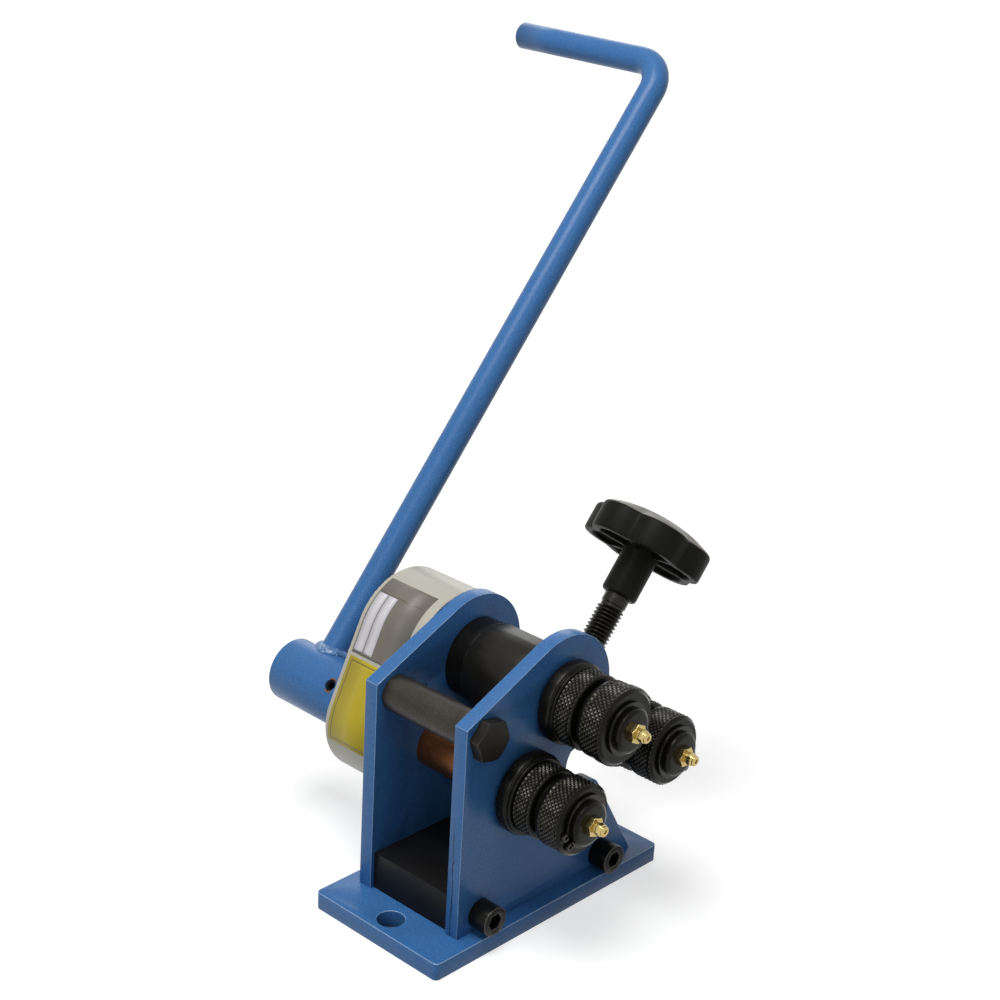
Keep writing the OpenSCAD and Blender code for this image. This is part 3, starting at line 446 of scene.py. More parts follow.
head = bmesh.new()
hexagon_bolt_head(head, TIE, -PLATES_OUT, BOLT_HEAD, BOLT_ACROSS, BOLT_TURN)
shank = bmesh.new()
bmesh.ops.create_cone(shank, cap_ends=True, segments=48, radius1=BOLT_R * MM, radius2=BOLT_R * MM,
                      depth=BOLT_LONG * MM,
                      matrix=Matrix.Translation(
                          Vector((TIE[0], -PLATES_OUT + BOLT_LONG / 2 - BOLT_SUNK, TIE[1])) * MM)
                      @ Matrix.Rotation(math.radians(90), 4, "X"))
join_in(head, shank)
forged_bolt = finish_of("forged_bolt", (0.0085, 0.0077, 0.0055), (0.0160, 0.0145, 0.0105), (0.34, 0.48),
                        metal=0.4, patch=160.0, fine=2200.0, height=0.000006, specular=0.2)
# Lighter colour on the bolt head's bevelled edges: a painted highlight on its rims.
forged_bolt_edge_highlight = finish_of("forged_bolt_painted_edge_highlight", (0.009, 0.0085, 0.0072), (0.046, 0.042, 0.034), (0.30, 0.44),
                        metal=0.5, patch=420.0, fine=2200.0, height=0.000006, specular=0.2)
placed(head, "tie_bolt_forged", "frame", forged_bolt, ("tie_bolt",), ease=0.3,
       edge=forged_bolt_edge_highlight)

# Bushes and washer.
# Turned bronze bushes carry the shafts in the plates. The lower one is a single long bush
# that shows between the plates; a thick blackened washer keeps the swing arm off the rear plate.
LOWER, UPPER, THIRD = (-17.1, 70.9), (7.057, 107.676), (43.492, 83.008)
bronze = finish_of("turned_bronze", (0.095, 0.032, 0.013), (0.32, 0.125, 0.042), (0.24, 0.40), metal=0.9,
                   patch=70.0, fine=1500.0, height=0.000006)
placed(turned(LOWER, tube_outline(9.05, 11.3, -PLATES_OUT, PLATES_OUT)), "lower_bush_turned", "frame",
       bronze, ("lower_bush",), ease=0.3)
black_oxide = finish_of("black_oxide", (0.0075, 0.0072, 0.0062), (0.0145, 0.0135, 0.0115), (0.18, 0.32),
                        metal=0.6, patch=110.0, fine=1700.0, height=0.000006, specular=0.15)
placed(turned(UPPER, tube_outline(9.3, 19.5, 13.85, PLATES_IN)), "arm_washer_turned", "frame",
       black_oxide, ("arm_washer",), ease=0.4)
for name in ("upper_bushes", "arm_bush", "third_bush"):
    body = "frame" if name == "upper_bushes" else "swing_arm"
    placed(merged_copy(name), name + "_turned", body, bronze, (name,), ease=0.3)

# The three rolls.
# Each roll is a stack of turned rings on its shaft: a thrust flange with a stepped shoulder,
# a knurled ring, a plain ring that leaves the slot, and a knurled sleeve. All are blackened;
# the knurl's tips are lighter, partly as rubbed wear and partly as a painted highlight. A spring
# clip and a grease nipple close the shaft's end.
SEAT = 10.52
# Colour of the knurl's tips: partly rubbed steel, partly a painted highlight.
WORN_AND_HIGHLIT_TIPS = (0.085, 0.081, 0.070)


def knurled_steel():
    """Blackened steel with lighter tips where the mask is high, partly rubbed wear and partly painted
    highlight.
    """
    material = finish_of("knurled_steel", (0.0075, 0.0072, 0.0062), (0.0150, 0.0142, 0.0124), (0.20, 0.34),
                         metal=0.7, patch=150.0, fine=2200.0, height=0.000004, specular=0.15)
    tree = material.node_tree
    worn_and_highlit = add(tree, "ShaderNodeAttribute", attribute_type="GEOMETRY", attribute_name="worn_and_highlit")
    tips = add(tree, "ShaderNodeMapRange", {
        "Value": worn_and_highlit.outputs["Fac"], "From Min": 0.35, "From Max": 1.0})
    tint(material, tips.outputs["Result"], WORN_AND_HIGHLIT_TIPS)
    return material


knurl_finish = knurled_steel()


def knurled(at, outline, band, count, depth):
    """Turned ring whose outer face between the two y of band is cut into count diamonds round."""
    y0, y1 = band
    radius = max(r for r, y in outline)
    pitch = math.tau * radius / count / 2
    rows = max(3, round(abs(y1 - y0) / pitch))
    step = (y1 - y0) / rows
    whole = []
    for corner in outline:
        whole.append(corner)
        if corner == (radius, y0):
            whole.extend((radius, y0 + step * row) for row in range(1, rows))
    bm = turned(at, whole, steps=count * 2)
    # Mask for the tips' lighter colour: partly wear, partly painted highlight.
    worn_and_highlit = bm.verts.layers.float.new("worn_and_highlit")
    centre = Vector((at[0], 0, at[1])) * MM
    valley, tip = set(), set()
    for v in bm.verts:
        out = Vector((v.co.x, 0, v.co.z)) - centre
        row = (v.co.y / MM - y0) / step
        if abs(out.length - radius * MM) > 0.00001 or row < -0.01 or row > rows + 0.01:
            continue
        turn = round(math.atan2(out.z, out.x) / math.tau * count * 2)
        shrink = depth
        if (turn + round(row)) % 2:
            shrink = 0.0
            v[worn_and_highlit] = 1.0
        elif round(row) in (0, rows):
            shrink = depth * 0.55
            v[worn_and_highlit] = 0.2
        (valley if shrink else tip).add(v)
        v.co -= out.normalized() * shrink * MM
    for face in list(bm.faces):
        low = [v for v in face.verts if v in valley]
        if len(low) == 2 and len([v for v in face.verts if v in tip]) == 2:
            bmesh.utils.face_split(face, low[0], low[1])
    return bm


CLIP_Y, CLIP_THICK, CLIP_GAP, CLIP_STEPS = -69.4, 1.3, 9.0, 72
EAR_R, EAR_HOLE_R, EAR_OUT, EAR_ASIDE = 2.0, 0.8, 0.5, 3.3


def spring_clip(at, groove, radius, turn):
    """Open ring of flat spring steel with two pierced ears, as an outside circlip is."""
    bm = bmesh.new()
    first, last = math.radians(CLIP_GAP), math.radians(360 - CLIP_GAP)
    for index in range(CLIP_STEPS):
        a = first + (last - first) * index / (CLIP_STEPS - 1)
        swell = 0.72 + 0.28 * (1 - math.cos(a)) / 2
        inner, outer = groove, groove + (radius - groove) * swell
        bm.verts.new((inner * math.cos(a) * MM, 0, inner * math.sin(a) * MM))
        bm.verts.new((outer * math.cos(a) * MM, 0, outer * math.sin(a) * MM))
    bm.verts.ensure_lookup_table()
    for index in range(CLIP_STEPS - 1):
        bm.faces.new([bm.verts[index * 2 + k] for k in (0, 1, 3, 2)])
    upright = Matrix.Rotation(math.radians(90), 4, "X")
    for side in (-1, 1):
        ear, hole = (bmesh.ops.create_circle(bm, cap_ends=False, segments=24, radius=r * MM)["verts"]
                     for r in (EAR_R, EAR_HOLE_R))
        rings = list({e for v in ear + hole for e in v.link_edges})
        bmesh.ops.bridge_loops(bm, edges=rings)
        move = Matrix.Translation(Vector((radius - EAR_OUT, 0, side * EAR_ASIDE)) * MM) @ upright
        bmesh.ops.transform(bm, matrix=move, verts=ear + hole)
    bmesh.ops.recalc_face_normals(bm, faces=bm.faces)
    grown = bmesh.ops.extrude_face_region(bm, geom=list(bm.faces))["geom"]
    bmesh.ops.translate(bm, verts=[g for g in grown if isinstance(g, bmesh.types.BMVert)],
                        vec=(0, CLIP_THICK * MM, 0))
    bmesh.ops.rotate(bm, verts=bm.verts, cent=(0, 0, 0), matrix=Matrix.Rotation(math.radians(-turn), 3, "Y"))
    bmesh.ops.translate(bm, verts=bm.verts, vec=Vector((at[0], CLIP_Y, at[1])) * MM)
    bmesh.ops.recalc_face_normals(bm, faces=bm.faces)
    return bm


brass = finish_of("turned_brass", (0.40, 0.30, 0.105), (0.60, 0.48, 0.215), (0.12, 0.26), metal=1.0,
                  patch=300.0, fine=2600.0, height=0.000004)
clip_steel = finish_of("spring_steel", (0.020, 0.019, 0.017), (0.042, 0.040, 0.036), (0.22, 0.34), metal=0.9,
                       patch=200.0, fine=2400.0, height=0.000003)
NUT_Y, NUT_HIGH, NUT_ACROSS = -72.5, 2.8, 8.5


def grease_nipple(at, turn):
    """Hexagon with bevelled corners, a tapered nose with a groove and a small closed valve."""
    nose = turned(at, [(0, -74.6), (2.75, -74.6), (2.6, -76.2), (2.95, -76.5), (3.0, -77.3), (2.85, -78.6),
                       (2.35, -79.1), (2.35, -79.5), (2.5, -79.75), (2.1, -80.2), (1.7, -80.3),
                       (0.95, -80.3), (0.8, -79.4), (0, -79.2)], steps=48)
    body = bmesh.new()
    hexagon_bolt_head(body, (0, 0), 0, NUT_HIGH, NUT_ACROSS, turn)
    bmesh.ops.translate(body, verts=body.verts, vec=Vector((at[0], NUT_Y, at[1])) * MM)
    join_in(nose, body)
    return nose


oiled_shaft = finish_of("oiled_shaft", (0.006, 0.0057, 0.005), (0.012, 0.0113, 0.0097), (0.10, 0.20),
                        metal=0.5, patch=110.0, fine=1700.0, height=0.000004, specular=0.15)
NOSE_ROUND, NIPPLE_ROOM = 1.3, 6


def rounded_nose(node):
    """The shaft of a CAD node with the rim of its front end turned to a full round."""
    bm = merged_copy(node)
    front = min(v.co.y for v in bm.verts) + 1e-6
    end = [v.co for v in bm.verts if v.co.y < front]
    middle = sum(end, Vector()) / len(end)
    rim = [e for e in bm.edges if len(e.link_faces) == 2
           and all(v.co.y < front and (v.co - middle).length > NIPPLE_ROOM * MM for v in e.verts)]
    bmesh.ops.bevel(bm, geom=rim, offset=NOSE_ROUND * MM, offset_type="OFFSET", segments=5, profile=0.5,
                    affect="EDGES", material=-1)
    return bm


SLOT_R, GROOVE_R, CLIP_R, KNURL_DEPTH = 13.0, 9.75, 13.0, 0.5


def roll(name, at, body, radius, count, clip_turn, nipple_turn):
    """All the pieces of one roll, from its flange to its grease nipple."""
    flange = turned(at, [(SEAT, -32.75), (18.9, -32.75), (19.5, -33.4), (19.5, -37.6), (19.25, -38.3),
                         (18.75, -38.7), (18.45, -38.9), (18.6, -39.3), (18.6, -40.2), (18.0, -40.75),
                         (SEAT, -40.75)])
    placed(flange, name + "_flange_turned", body, black_oxide, (name + "_flange",),
           ease=0.25)
    ring = knurled(at, [(SEAT, -40.75), (radius - 0.9, -40.75), (radius, -41.4), (radius, -49.4),
                        (radius - 0.6, -50.1), (radius - 1.2, -50.45), (SEAT, -50.45)],
                   (-41.4, -49.4), count, KNURL_DEPTH)
    placed(ring, name + "_ring_knurled", body, knurl_finish, (name + "_ring",))
    placed(turned(at, tube_outline(SEAT, SLOT_R, -50.45, -53.45)), name + "_slot_ring_turned", body,
           black_oxide, (name + "_slot_ring",))
    edge = radius - 0.15
    sleeve = knurled(at, [(SEAT, -53.45), (radius - 1.9, -53.45), (radius - 1.1, -53.75),
                          (radius - 0.5, -54.3), (edge, -55.1), (edge, -55.9), (radius, -56.0),
                          (radius, -66.4), (radius - 0.5, -66.7), (radius - 1.6, -67.85), (SEAT, -67.85)],
                     (-56.0, -66.4), count, KNURL_DEPTH)
    placed(sleeve, name + "_sleeve_knurled", body, knurl_finish, (name + "_sleeve",))
    placed(spring_clip(at, GROOVE_R, CLIP_R, clip_turn), name + "_clip_sprung", body,
           clip_steel, (name + "_clip",), ease=0.15, steps=1)
    placed(grease_nipple(at, nipple_turn), name + "_nipple_turned", body, brass,
           (name + "_nipple",), ease=0.18)
    placed(rounded_nose(name + "_shaft"), name + "_shaft_turned", body, oiled_shaft,
           (name + "_shaft",), ease=0.3)


roll("lower", LOWER, "lower_roll_drive", 16.9, 44, 208, 12)
roll("upper", UPPER, "upper_roll_drive", 18.0, 46, 322, 4)
roll("third", THIRD, "third_roller", 16.9, 44, 322, 25)
for name, body in (("lower_gear", "lower_roll_drive"), ("upper_gear", "upper_roll_drive"),
                   ("lower_key", "lower_roll_drive"), ("upper_key", "upper_roll_drive"),
                   ("third_rear_clip", "third_roller")):
    placed(merged_copy(name), name + "_cut", body, bare_steel, (name,), ease=0.12, steps=1)

# Gear cover and its two panels.
# A deep-drawn steel cover in warm light grey enamel, with a rounded rear edge, screwed to the
# rear plate. Two thin panels lie on its curved left side: a grey one with a rule and two
# white fields, and a yellow one with a line round its edge.
COVER_TOP = (3.557, 106.476)
COVER_Y = (PLATES_OUT, 70.05)
COVER_LOW_R, COVER_TOP_R, COVER_ROUND, COVER_WALL = 28.0, 31.6, 3.2, 2
COVER_SPAN = Vector(COVER_TOP) - Vector(LOWER)
COVER_LEAD = math.atan2(COVER_SPAN.y, COVER_SPAN.x)
COVER_SPREAD = math.acos((COVER_LOW_R - COVER_TOP_R) / COVER_SPAN.length)
grey_enamel = finish_of("grey_enamel", (0.40, 0.385, 0.325), (0.46, 0.445, 0.38), (0.34, 0.46), patch=35.0,
                        fine=600.0, height=0.00002, coat=0.1, specular=0.3)
add_specks(grey_enamel, (0.52, 0.50, 0.44), 160.0, 0.05)


def cover_points(count=72):
    """Points round the cover's outline in X and Z: two round ends and their tangents."""
    points = []
    for centre, radius, first, last in (
            (LOWER, COVER_LOW_R, COVER_LEAD + COVER_SPREAD, COVER_LEAD + math.tau - COVER_SPREAD),
            (COVER_TOP, COVER_TOP_R, COVER_LEAD - COVER_SPREAD, COVER_LEAD + COVER_SPREAD)):
        for index in range(count):
            a = first + (last - first) * index / (count - 1)
            points.append((centre[0] + radius * math.cos(a), centre[1] + radius * math.sin(a)))
    return points


def cover_shell():
    """Cup with a rounded rear edge and a wall of its own."""
    bm = bmesh.new()
    loop = [bm.verts.new((x * MM, COVER_Y[0] * MM, z * MM)) for x, z in cover_points()]
    face = bm.faces.new(loop)
    grown = bmesh.ops.extrude_face_region(bm, geom=[face])["geom"]
    rear = [g for g in grown if isinstance(g, bmesh.types.BMVert)]
    bmesh.ops.translate(bm, verts=rear, vec=(0, (COVER_Y[1] - COVER_Y[0]) * MM, 0))
    for mouth in [f for f in bm.faces if all(abs(v.co.y - COVER_Y[0] * MM) < 1e-6 for v in f.verts)]:
        bm.faces.remove(mouth)
    rim = [e for e in bm.edges if all(v in rear for v in e.verts) and len(e.link_faces) == 2]
    bmesh.ops.bevel(bm, geom=rim, offset=COVER_ROUND * MM, offset_type="OFFSET", segments=5, profile=0.5,
                    affect="EDGES", material=-1)
    bmesh.ops.recalc_face_normals(bm, faces=bm.faces)
    return bm


cover = placed(cover_shell(), "gear_cover_drawn", "frame", grey_enamel, ("gear_cover",))
wall = cover.modifiers.new("wall", "SOLIDIFY")
wall.thickness = COVER_WALL * MM
wall.offset = -1
cover.modifiers.new("flat_faces", "WEIGHTED_NORMAL").keep_sharp = True


FILM = 0.08


def side_point(along_side, lift):
    """X and Z on the cover's left side: 0 where its flat meets the top round, upwards positive."""
    facing = COVER_LEAD + COVER_SPREAD
    flat = math.sqrt(COVER_SPAN.length ** 2 - (COVER_TOP_R - COVER_LOW_R) ** 2)
    if along_side >= 0:
        centre, radius, a = Vector(COVER_TOP), COVER_TOP_R, facing - along_side / COVER_TOP_R
    elif -along_side > flat:
        centre, radius, a = Vector(LOWER), COVER_LOW_R, facing - (along_side + flat) / COVER_LOW_R
    else:
        run = Vector((math.sin(facing), -math.cos(facing))) * along_side
        centre, radius, a = Vector(COVER_TOP) + run, COVER_TOP_R, facing
    return centre + Vector((math.cos(a), math.sin(a))) * (radius + lift)


def side_sheet(name, ends, ys, lift, material, steps=40):
    """Thin film laid on the cover's left side between two places along it and two y."""
    bm = bmesh.new()
    line = []
    for index in range(steps + 1):
        at = side_point(ends[0] + (ends[1] - ends[0]) * index / steps, lift)
        line.append(bm.verts.new(Vector((at.x, ys[0], at.y)) * MM))
    edges = [bm.edges.new(pair) for pair in zip(line, line[1:])]
    grown = bmesh.ops.extrude_edge_only(bm, edges=edges)["geom"]
    bmesh.ops.translate(bm, verts=[g for g in grown if isinstance(g, bmesh.types.BMVert)],
                        vec=(0, (ys[1] - ys[0]) * MM, 0))
    bmesh.ops.recalc_face_normals(bm, faces=bm.faces)
    if sum(f.normal.x for f in bm.faces) > 0:
        bmesh.ops.reverse_faces(bm, faces=bm.faces)
    film = placed(bm, name, "frame", material)
    depth = film.modifiers.new("film", "SOLIDIFY")
    depth.thickness = FILM * MM
    depth.offset = -1
    return film


panel_grey = finish_of("panel_grey", (0.140, 0.129, 0.108), (0.180, 0.166, 0.141), (0.30, 0.42), patch=60.0,
                       fine=900.0, height=0.000004, specular=0.25)
panel_white = finish_of("panel_white", (0.54, 0.525, 0.56), (0.62, 0.605, 0.63), (0.30, 0.42), patch=90.0,
                        fine=1200.0, height=0.000003)
panel_yellow = finish_of("panel_yellow", (0.40, 0.310, 0.016), (0.52, 0.420, 0.026), (0.28, 0.40), patch=45.0,
                         fine=900.0, height=0.000004, specular=0.25)
panel_line = finish_of("panel_line", (0.050, 0.042, 0.018), (0.11, 0.092, 0.030), (0.30, 0.42), patch=200.0,
                       fine=900.0, height=0.000003)
side_sheet("grey_panel", (-14.7, 25.5), (36.0, 66.3), FILM, panel_grey)
side_sheet("grey_panel_rule", (16.5, 16.85), (37.0, 65.9), 2 * FILM, panel_line)
side_sheet("outer_white_field", (-13.4, 16.2), (59.9, 65.6), 2 * FILM, panel_white)
side_sheet("inner_white_field", (-13.4, 16.2), (53.8, 59.45), 2 * FILM, panel_white)
side_sheet("yellow_panel", (-58.4, -16.3), (38.0, 66.2), FILM, panel_yellow)
side_sheet("yellow_panel_line", (-56.7, -18.0), (39.7, 64.5), 2 * FILM, panel_line)
side_sheet("yellow_panel_field", (-56.2, -18.5), (40.2, 64.0), 3 * FILM, panel_yellow)

# Crank.
# A round bar bent cold to a grip, welded by hand to a bored steel hub, and painted blue
# with the hub. A socket set screw in the hub's side holds it on the lower shaft.
CRANK = math.radians(50.1)
CRANK_THROW, BEND, ROD_R, ROD_Y = 359.5, 16.0, 7.0, 105.25
ROD_START, GRIP_STEPS, GRIP_BEVEL, GRIP_END = 14.5, (20.0, 20.0, 20.0, 23.0), 1.5, 0.8
CRANK_HUB_R, HOLE_Y, HOLE_TURN = 15.75, 83.25, math.radians(138)
along = Vector((math.cos(CRANK), 0, math.sin(CRANK)))
hub_centre = Vector((LOWER[0], ROD_Y, LOWER[1]))
placed(merged_copy("crank_hub"), "crank_hub_turned", "lower_roll_drive", blue_enamel,
       ("crank_hub",), ease=1.6, steps=4)
placed(merged_copy("crank_set_screw"), "crank_set_screw_cut", "lower_roll_drive", black_screw,
       ("crank_set_screw",), ease=0.2)
bared_steel = finish_of("bared_rusty_rim", (0.090, 0.036, 0.016), (0.26, 0.14, 0.075), (0.35, 0.55),
                        metal=0.7, patch=500.0, fine=2400.0, height=0.00001)
rim = turned((0, 0), [(2.95, -15.2), (3.0, -15.55), (3.75, -15.5), (3.75, -15.2)], steps=40)
bmesh.ops.rotate(rim, verts=rim.verts, cent=(0, 0, 0), matrix=Matrix.Rotation(math.radians(-90), 3, "X"))
bmesh.ops.transform(rim, verts=rim.verts, matrix=Matrix.Translation(Vector((LOWER[0], HOLE_Y, LOWER[1])) * MM)
                    @ Matrix.Rotation(math.pi / 2 - HOLE_TURN, 4, "Y"))
placed(rim, "set_screw_hole_rim", "lower_roll_drive", bared_steel)


def bent_rod():
    """Bar that leaves the hub, bends once through a right angle and ends in a bevelled grip."""
    bm = bmesh.new()
    turn = along.to_track_quat("Z", "Y").to_matrix().to_4x4()
    place = Matrix.Translation((hub_centre + along * ROD_START) * MM) @ turn
    bmesh.ops.create_circle(bm, cap_ends=True, segments=48, radius=ROD_R * MM, matrix=place)
    face = list(bm.faces)[0]

    def push(face, step):
        grown = bmesh.ops.extrude_face_region(bm, geom=[face])["geom"]
        fresh = [g for g in grown if isinstance(g, bmesh.types.BMFace)][0]
        bmesh.ops.translate(bm, verts=list(fresh.verts), vec=step * MM)
        return fresh

    length = CRANK_THROW - BEND - ROD_START
    for _ in range(6):
        face = push(face, along * (length / 6))
    pivot = (hub_centre + along * (CRANK_THROW - BEND) + Vector((0, BEND, 0))) * MM
    axis = along.cross(Vector((0, 1, 0))).normalized()
    spun = bmesh.ops.spin(bm, geom=[face] + list(face.edges) + list(face.verts), cent=pivot, axis=axis,
                          angle=math.radians(90), steps=16)
    face = [g for g in spun["geom_last"] if isinstance(g, bmesh.types.BMFace)][0]
    for step in (*GRIP_STEPS, GRIP_BEVEL):
        face = push(face, Vector((0, step, 0)))
    middle = face.calc_center_median()
    bmesh.ops.scale(bm, vec=(GRIP_END, 1, GRIP_END), space=Matrix.Translation(-middle),
                    verts=list(face.verts))
    bmesh.ops.remove_doubles(bm, verts=bm.verts, dist=1e-7)
    bmesh.ops.recalc_face_normals(bm, faces=bm.faces)
    return bm


placed(bent_rod(), "crank_rod_bent", "lower_roll_drive", blue_enamel, ("crank_rod",), ease=0.5)


BEAD_STEPS, BEAD_PARTS, BEAD_R = 96, 9, 3.0


def weld_bead():
    """Rippled bead of hand-laid weld round the rod's foot, following the hub's round."""
    bm = bmesh.new()
    rings = []
    across = Vector((0, 1, 0))
    side = along.cross(across)
    for index in range(BEAD_STEPS):
        a = math.tau * index / BEAD_STEPS
        ripple = (0.16 * math.sin(a * 9 + 2 * math.sin(a * 2)) + 0.07 * math.sin(a * 23 + 1.3)
                  + 0.25 * math.sin(a * 4))
        fat = BEAD_R + ripple
        loop = []
        for part in range(BEAD_PARTS):
            b = math.radians(-62 + 214 * part / (BEAD_PARTS - 1))
            out = ROD_R - 0.4 + fat * max(-0.15, math.cos(b))
            flat = out * math.sin(a)
            lift = math.sqrt(max(CRANK_HUB_R ** 2 - flat ** 2, 1)) - 0.5 + fat * 0.9 * (math.sin(b) + 0.45)
            corner = hub_centre + along * lift + across * out * math.cos(a) + side * flat
            loop.append(bm.verts.new(corner * MM))
        rings.append(loop)
    for index in range(BEAD_STEPS):
        here, there = rings[index], rings[(index + 1) % BEAD_STEPS]
        for part in range(BEAD_PARTS):
            after = (part + 1) % BEAD_PARTS
            bm.faces.new((here[part], here[after], there[after], there[part]))
    bmesh.ops.recalc_face_normals(bm, faces=bm.faces)
    for _ in range(3):
        bmesh.ops.smooth_vert(bm, verts=bm.verts, factor=0.4, use_axis_x=True, use_axis_y=True,
                              use_axis_z=True)
    return bm


blue_bead = finish_of("blue_enamel_on_weld", (0.040, 0.140, 0.345), (0.080, 0.210, 0.430), (0.12, 0.26),
                      patch=260.0, fine=1200.0, height=0.0007, coat=0.5, specular=0.3)
# Near-white specks on the bead: painted glints of light.
add_specks(blue_bead, (0.70, 0.80, 0.92), 1000.0, 0.24)
placed(weld_bead(), "crank_weld_bead", "lower_roll_drive", blue_bead, ("crank_weld",))

# Swing arm and thrust foot.
# A milled and blackened steel arm that turns on the upper shaft between the plates. It
# carries the third roll's shaft and, at its end, the tapped hole for the adjusting screw.
# The foot slides in the arm's bore and is a little slimmer here than in the CAD.
arm_steel = finish_of("satin_black_arm", (0.010, 0.0093, 0.0078), (0.024, 0.0218, 0.0175), (0.32, 0.42),
                      metal=0.6, patch=60.0, fine=1500.0, height=0.000002, specular=0.2)
placed(merged_copy("swing_arm"), "swing_arm_milled", "swing_arm", arm_steel,
       ("swing_arm",), ease=0.5)
TILT = math.radians(40.2)
SCREW = Vector((53.42, 12.55, 68.50))
FOOT_SLIM = 0.975
to_screw = Matrix.Translation(SCREW * MM) @ Matrix.Rotation(TILT, 4, "Y")
foot = merged_copy("thrust_foot")
bmesh.ops.transform(foot, verts=foot.verts,
                    matrix=to_screw @ Matrix.Diagonal((FOOT_SLIM, FOOT_SLIM, 1, 1)) @ to_screw.inverted())
placed(foot, "thrust_foot_turned", "thrust_foot", bare_steel, ("thrust_foot",))

# Adjusting screw and knob.
# A rolled M14 stud, dark with oil, and a moulded black thermoset knob: six rounded lobes,
# a shallow dome, ribbed pockets underneath and a long hub with a bevelled end.
THREAD_TOP, NECK_TOP, SCREW_LOW, PITCH = 57.5, 62.8, -36.0, 2.0
CREST_R, ROOT_R, NECK_R, JOURNAL_R, JOURNAL_LOW = 6.95, 5.85, 6.35, 3.8, SCREW_LOW - 4.8
STEPS_A_TURN = 40


def threaded_stud():
    """Core, plain neck and journal turned in one, with a single helical ridge spun round it."""
    bm = turned((0, 0), [(0, JOURNAL_LOW), (JOURNAL_R - 0.4, JOURNAL_LOW), (JOURNAL_R, SCREW_LOW - 4.3),
                         (JOURNAL_R, SCREW_LOW + 0.3), (ROOT_R - 0.3, SCREW_LOW + 0.3),
                         (ROOT_R, SCREW_LOW + 0.8), (ROOT_R, THREAD_TOP), (NECK_R, THREAD_TOP + 0.4),
                         (NECK_R, NECK_TOP + 8), (0, NECK_TOP + 8)], steps=64)
    bmesh.ops.rotate(bm, verts=bm.verts, cent=(0, 0, 0), matrix=Matrix.Rotation(math.radians(90), 3, "X"))
    ridge = bmesh.new()
    low = SCREW_LOW + 2.0
    section = [(ROOT_R - 0.1, -0.86), (CREST_R - 0.12, -0.16), (CREST_R, 0.0), (CREST_R - 0.12, 0.16),
               (ROOT_R - 0.1, 0.86)]
    corners = [ridge.verts.new(Vector((r, 0, low + z)) * MM) for r, z in section]
    start = ridge.faces.new(corners)
    turns = (THREAD_TOP - 1.0 - low) / PITCH
    steps = int(turns * STEPS_A_TURN)
    bmesh.ops.spin(ridge, geom=[start] + list(start.edges) + corners, cent=(0, 0, 0), axis=(0, 0, 1),
                   dvec=(0, 0, PITCH * turns / steps * MM), angle=math.tau * turns, steps=steps)
    bmesh.ops.recalc_face_normals(ridge, faces=ridge.faces)
    join_in(bm, ridge)
    bmesh.ops.transform(bm, matrix=to_screw, verts=bm.verts)
    return bm


stud_steel = finish_of("dark_stud", (0.013, 0.0123, 0.0105), (0.034, 0.032, 0.0275), (0.20, 0.34),
                       metal=0.9, patch=180.0, fine=2000.0, height=0.000004)
placed(threaded_stud(), "adjusting_screw_threaded", "adjusting_screw", stud_steel,
       ("adjusting_screw",))

KNOB_R, LOBE_R, GROOVE_AT, RIM_LOW, RIM_H, DOME = 31.8, 15.0, 27.5, 85.5, 14.5, 6.5
LOBES, LOBE_TURN, RIM_WIDE, POCKET = 6, math.radians(45.7), 4.8, 2.6
RIB_SIZE, RIB_AT = (16.0, 2.2, 3.2), (16.0, 0, RIM_LOW + 2.0)


def knob_radius(a, shrink):
    """Distance from the knob's axis to its edge, drawn in by shrink: round lobes, rounded grooves."""
    pitch = math.tau / LOBES
    off = (a - LOBE_TURN + pitch / 2) % pitch - pitch / 2
    reach, lobe = KNOB_R - LOBE_R, LOBE_R - shrink
    over = lobe ** 2 - (reach * math.sin(off)) ** 2
    on_lobe = reach * math.cos(off) + math.sqrt(max(over, 0))
    groove = GROOVE_AT - shrink
    return max(on_lobe, groove) + 0.35 * math.exp(-((on_lobe - groove) / 0.9) ** 2)


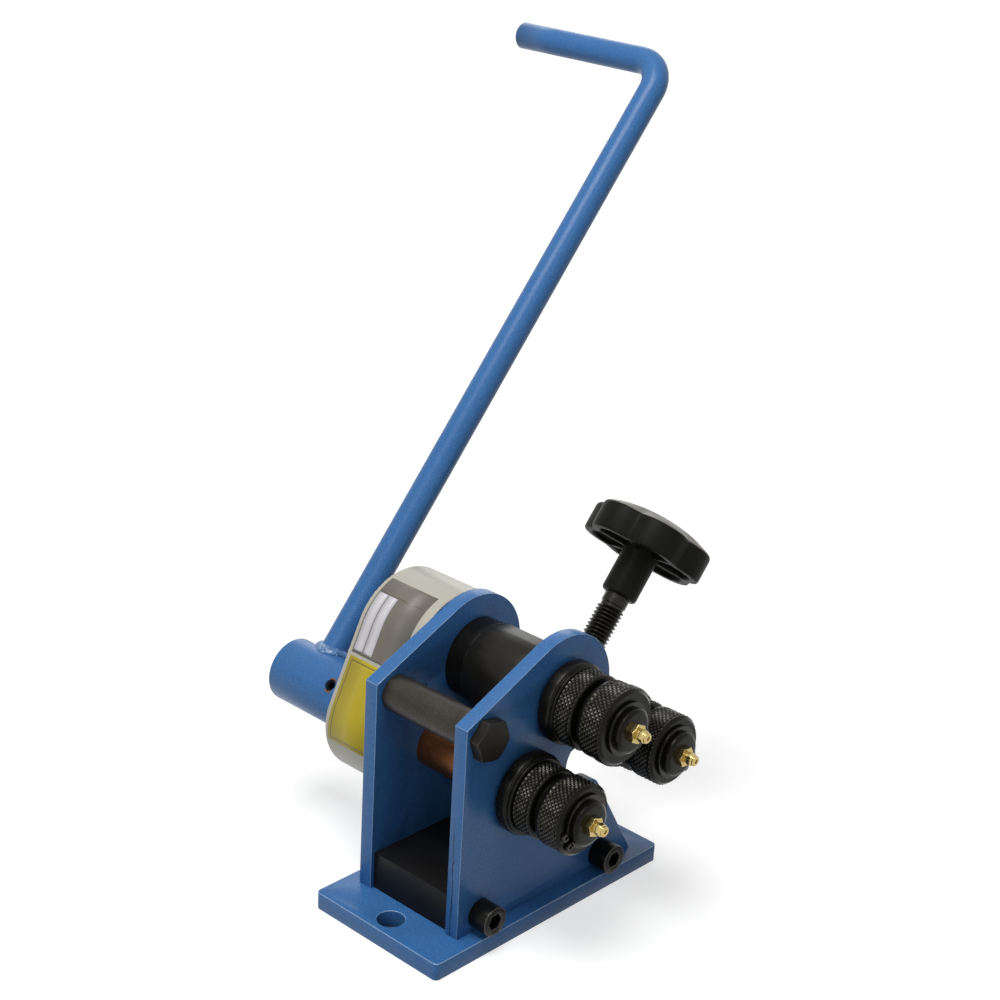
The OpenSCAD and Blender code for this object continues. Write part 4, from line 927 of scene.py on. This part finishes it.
def star_knob(count=240):
    """Lobed cap with rounded rims, a low dome and a shallow hollow underneath."""
    bm = bmesh.new()
    dome_r = (KNOB_R ** 2 + DOME ** 2) / (2 * DOME)
    top = RIM_LOW + RIM_H
    rings = []

    def ring(inset, height, shape=1.0, on_dome=False):
        loop = []
        for index in range(count):
            a = math.tau * index / count
            r = knob_radius(a, inset) * shape
            z = top + DOME - dome_r + math.sqrt(dome_r ** 2 - r ** 2) if on_dome else height
            loop.append(bm.verts.new((r * math.cos(a) * MM, r * math.sin(a) * MM, z * MM)))
        rings.append(loop)

    ring(RIM_WIDE, RIM_LOW + POCKET, 0.36)
    ring(RIM_WIDE, RIM_LOW + POCKET, 0.9)
    for inset, rise in ((RIM_WIDE, 1.9), (RIM_WIDE - 0.2, 0.7), (RIM_WIDE - 0.7, 0.1), (1.2, 0),
                        (0.5, 0.25), (0.12, 0.9), (0.0, 1.8)):
        ring(inset, RIM_LOW + rise)
    for inset, drop in ((0.0, 2.2), (0.15, 1.2), (0.6, 0.35), (1.3, -0.25), (2.2, -0.7)):
        ring(inset, top - drop)
    for shape in (0.85, 0.7, 0.5, 0.3, 0.12):
        ring(2.2, 0, shape, on_dome=True)
    for here, there in zip(rings, rings[1:]):
        for index in range(count):
            after = (index + 1) % count
            bm.faces.new((here[index], here[after], there[after], there[index]))
    bm.faces.new(rings[-1])
    bmesh.ops.recalc_face_normals(bm, faces=bm.faces)
    # Downward faces take the second material, a paler black: a painted reflection of the floor.
    for face in bm.faces:
        if face.normal.z < -0.6:
            face.material_index = 1
    return bm


knob_mesh = star_knob()
hub = turned((0, 0), [(0, 72.0), (6.37, 72.0), (6.37, 62.8), (7.9, 62.8), (8.6, 63.2), (9.1, 64.2),
                      (9.1, 84.0), (9.6, 88.0), (10.6, 93.0), (12.0, 95.5), (0, 95.5)], steps=72)
bmesh.ops.rotate(hub, verts=hub.verts, cent=(0, 0, 0), matrix=Matrix.Rotation(math.radians(90), 3, "X"))
ribs = bmesh.new()
for index in range(LOBES):
    turn = LOBE_TURN + (index + 0.5) * math.tau / LOBES
    bar = bmesh.ops.create_cube(ribs, size=1.0)["verts"]
    bmesh.ops.scale(ribs, vec=Vector(RIB_SIZE) * MM, verts=bar)
    bmesh.ops.translate(ribs, vec=Vector(RIB_AT) * MM, verts=bar)
    bmesh.ops.rotate(ribs, verts=bar, cent=(0, 0, 0), matrix=Matrix.Rotation(turn, 3, "Z"))
bmesh.ops.bevel(ribs, geom=list(ribs.edges), offset=0.35 * MM, offset_type="OFFSET", segments=2, profile=0.5,
                affect="EDGES", material=-1)
join_in(knob_mesh, hub)
join_in(knob_mesh, ribs)
bmesh.ops.transform(knob_mesh, matrix=to_screw, verts=knob_mesh.verts)
black_moulding = finish_of("black_moulding", (0.0058, 0.0058, 0.0046), (0.0108, 0.0106, 0.0086), (0.34, 0.50),
                           patch=70.0, fine=1100.0, height=0.00002, specular=0.06)
# Paler black for the knob's underside: a painted reflection of the floor.
moulding_painted_reflection = finish_of("black_moulding_painted_reflection", (0.095, 0.090, 0.075), (0.170, 0.160, 0.135), (0.30, 0.46),
                           patch=160.0, fine=1100.0, height=0.00003, specular=0.4)
placed(knob_mesh, "adjusting_knob_moulded", "adjusting_screw", black_moulding,
       ("adjusting_knob",), edge=moulding_painted_reflection)
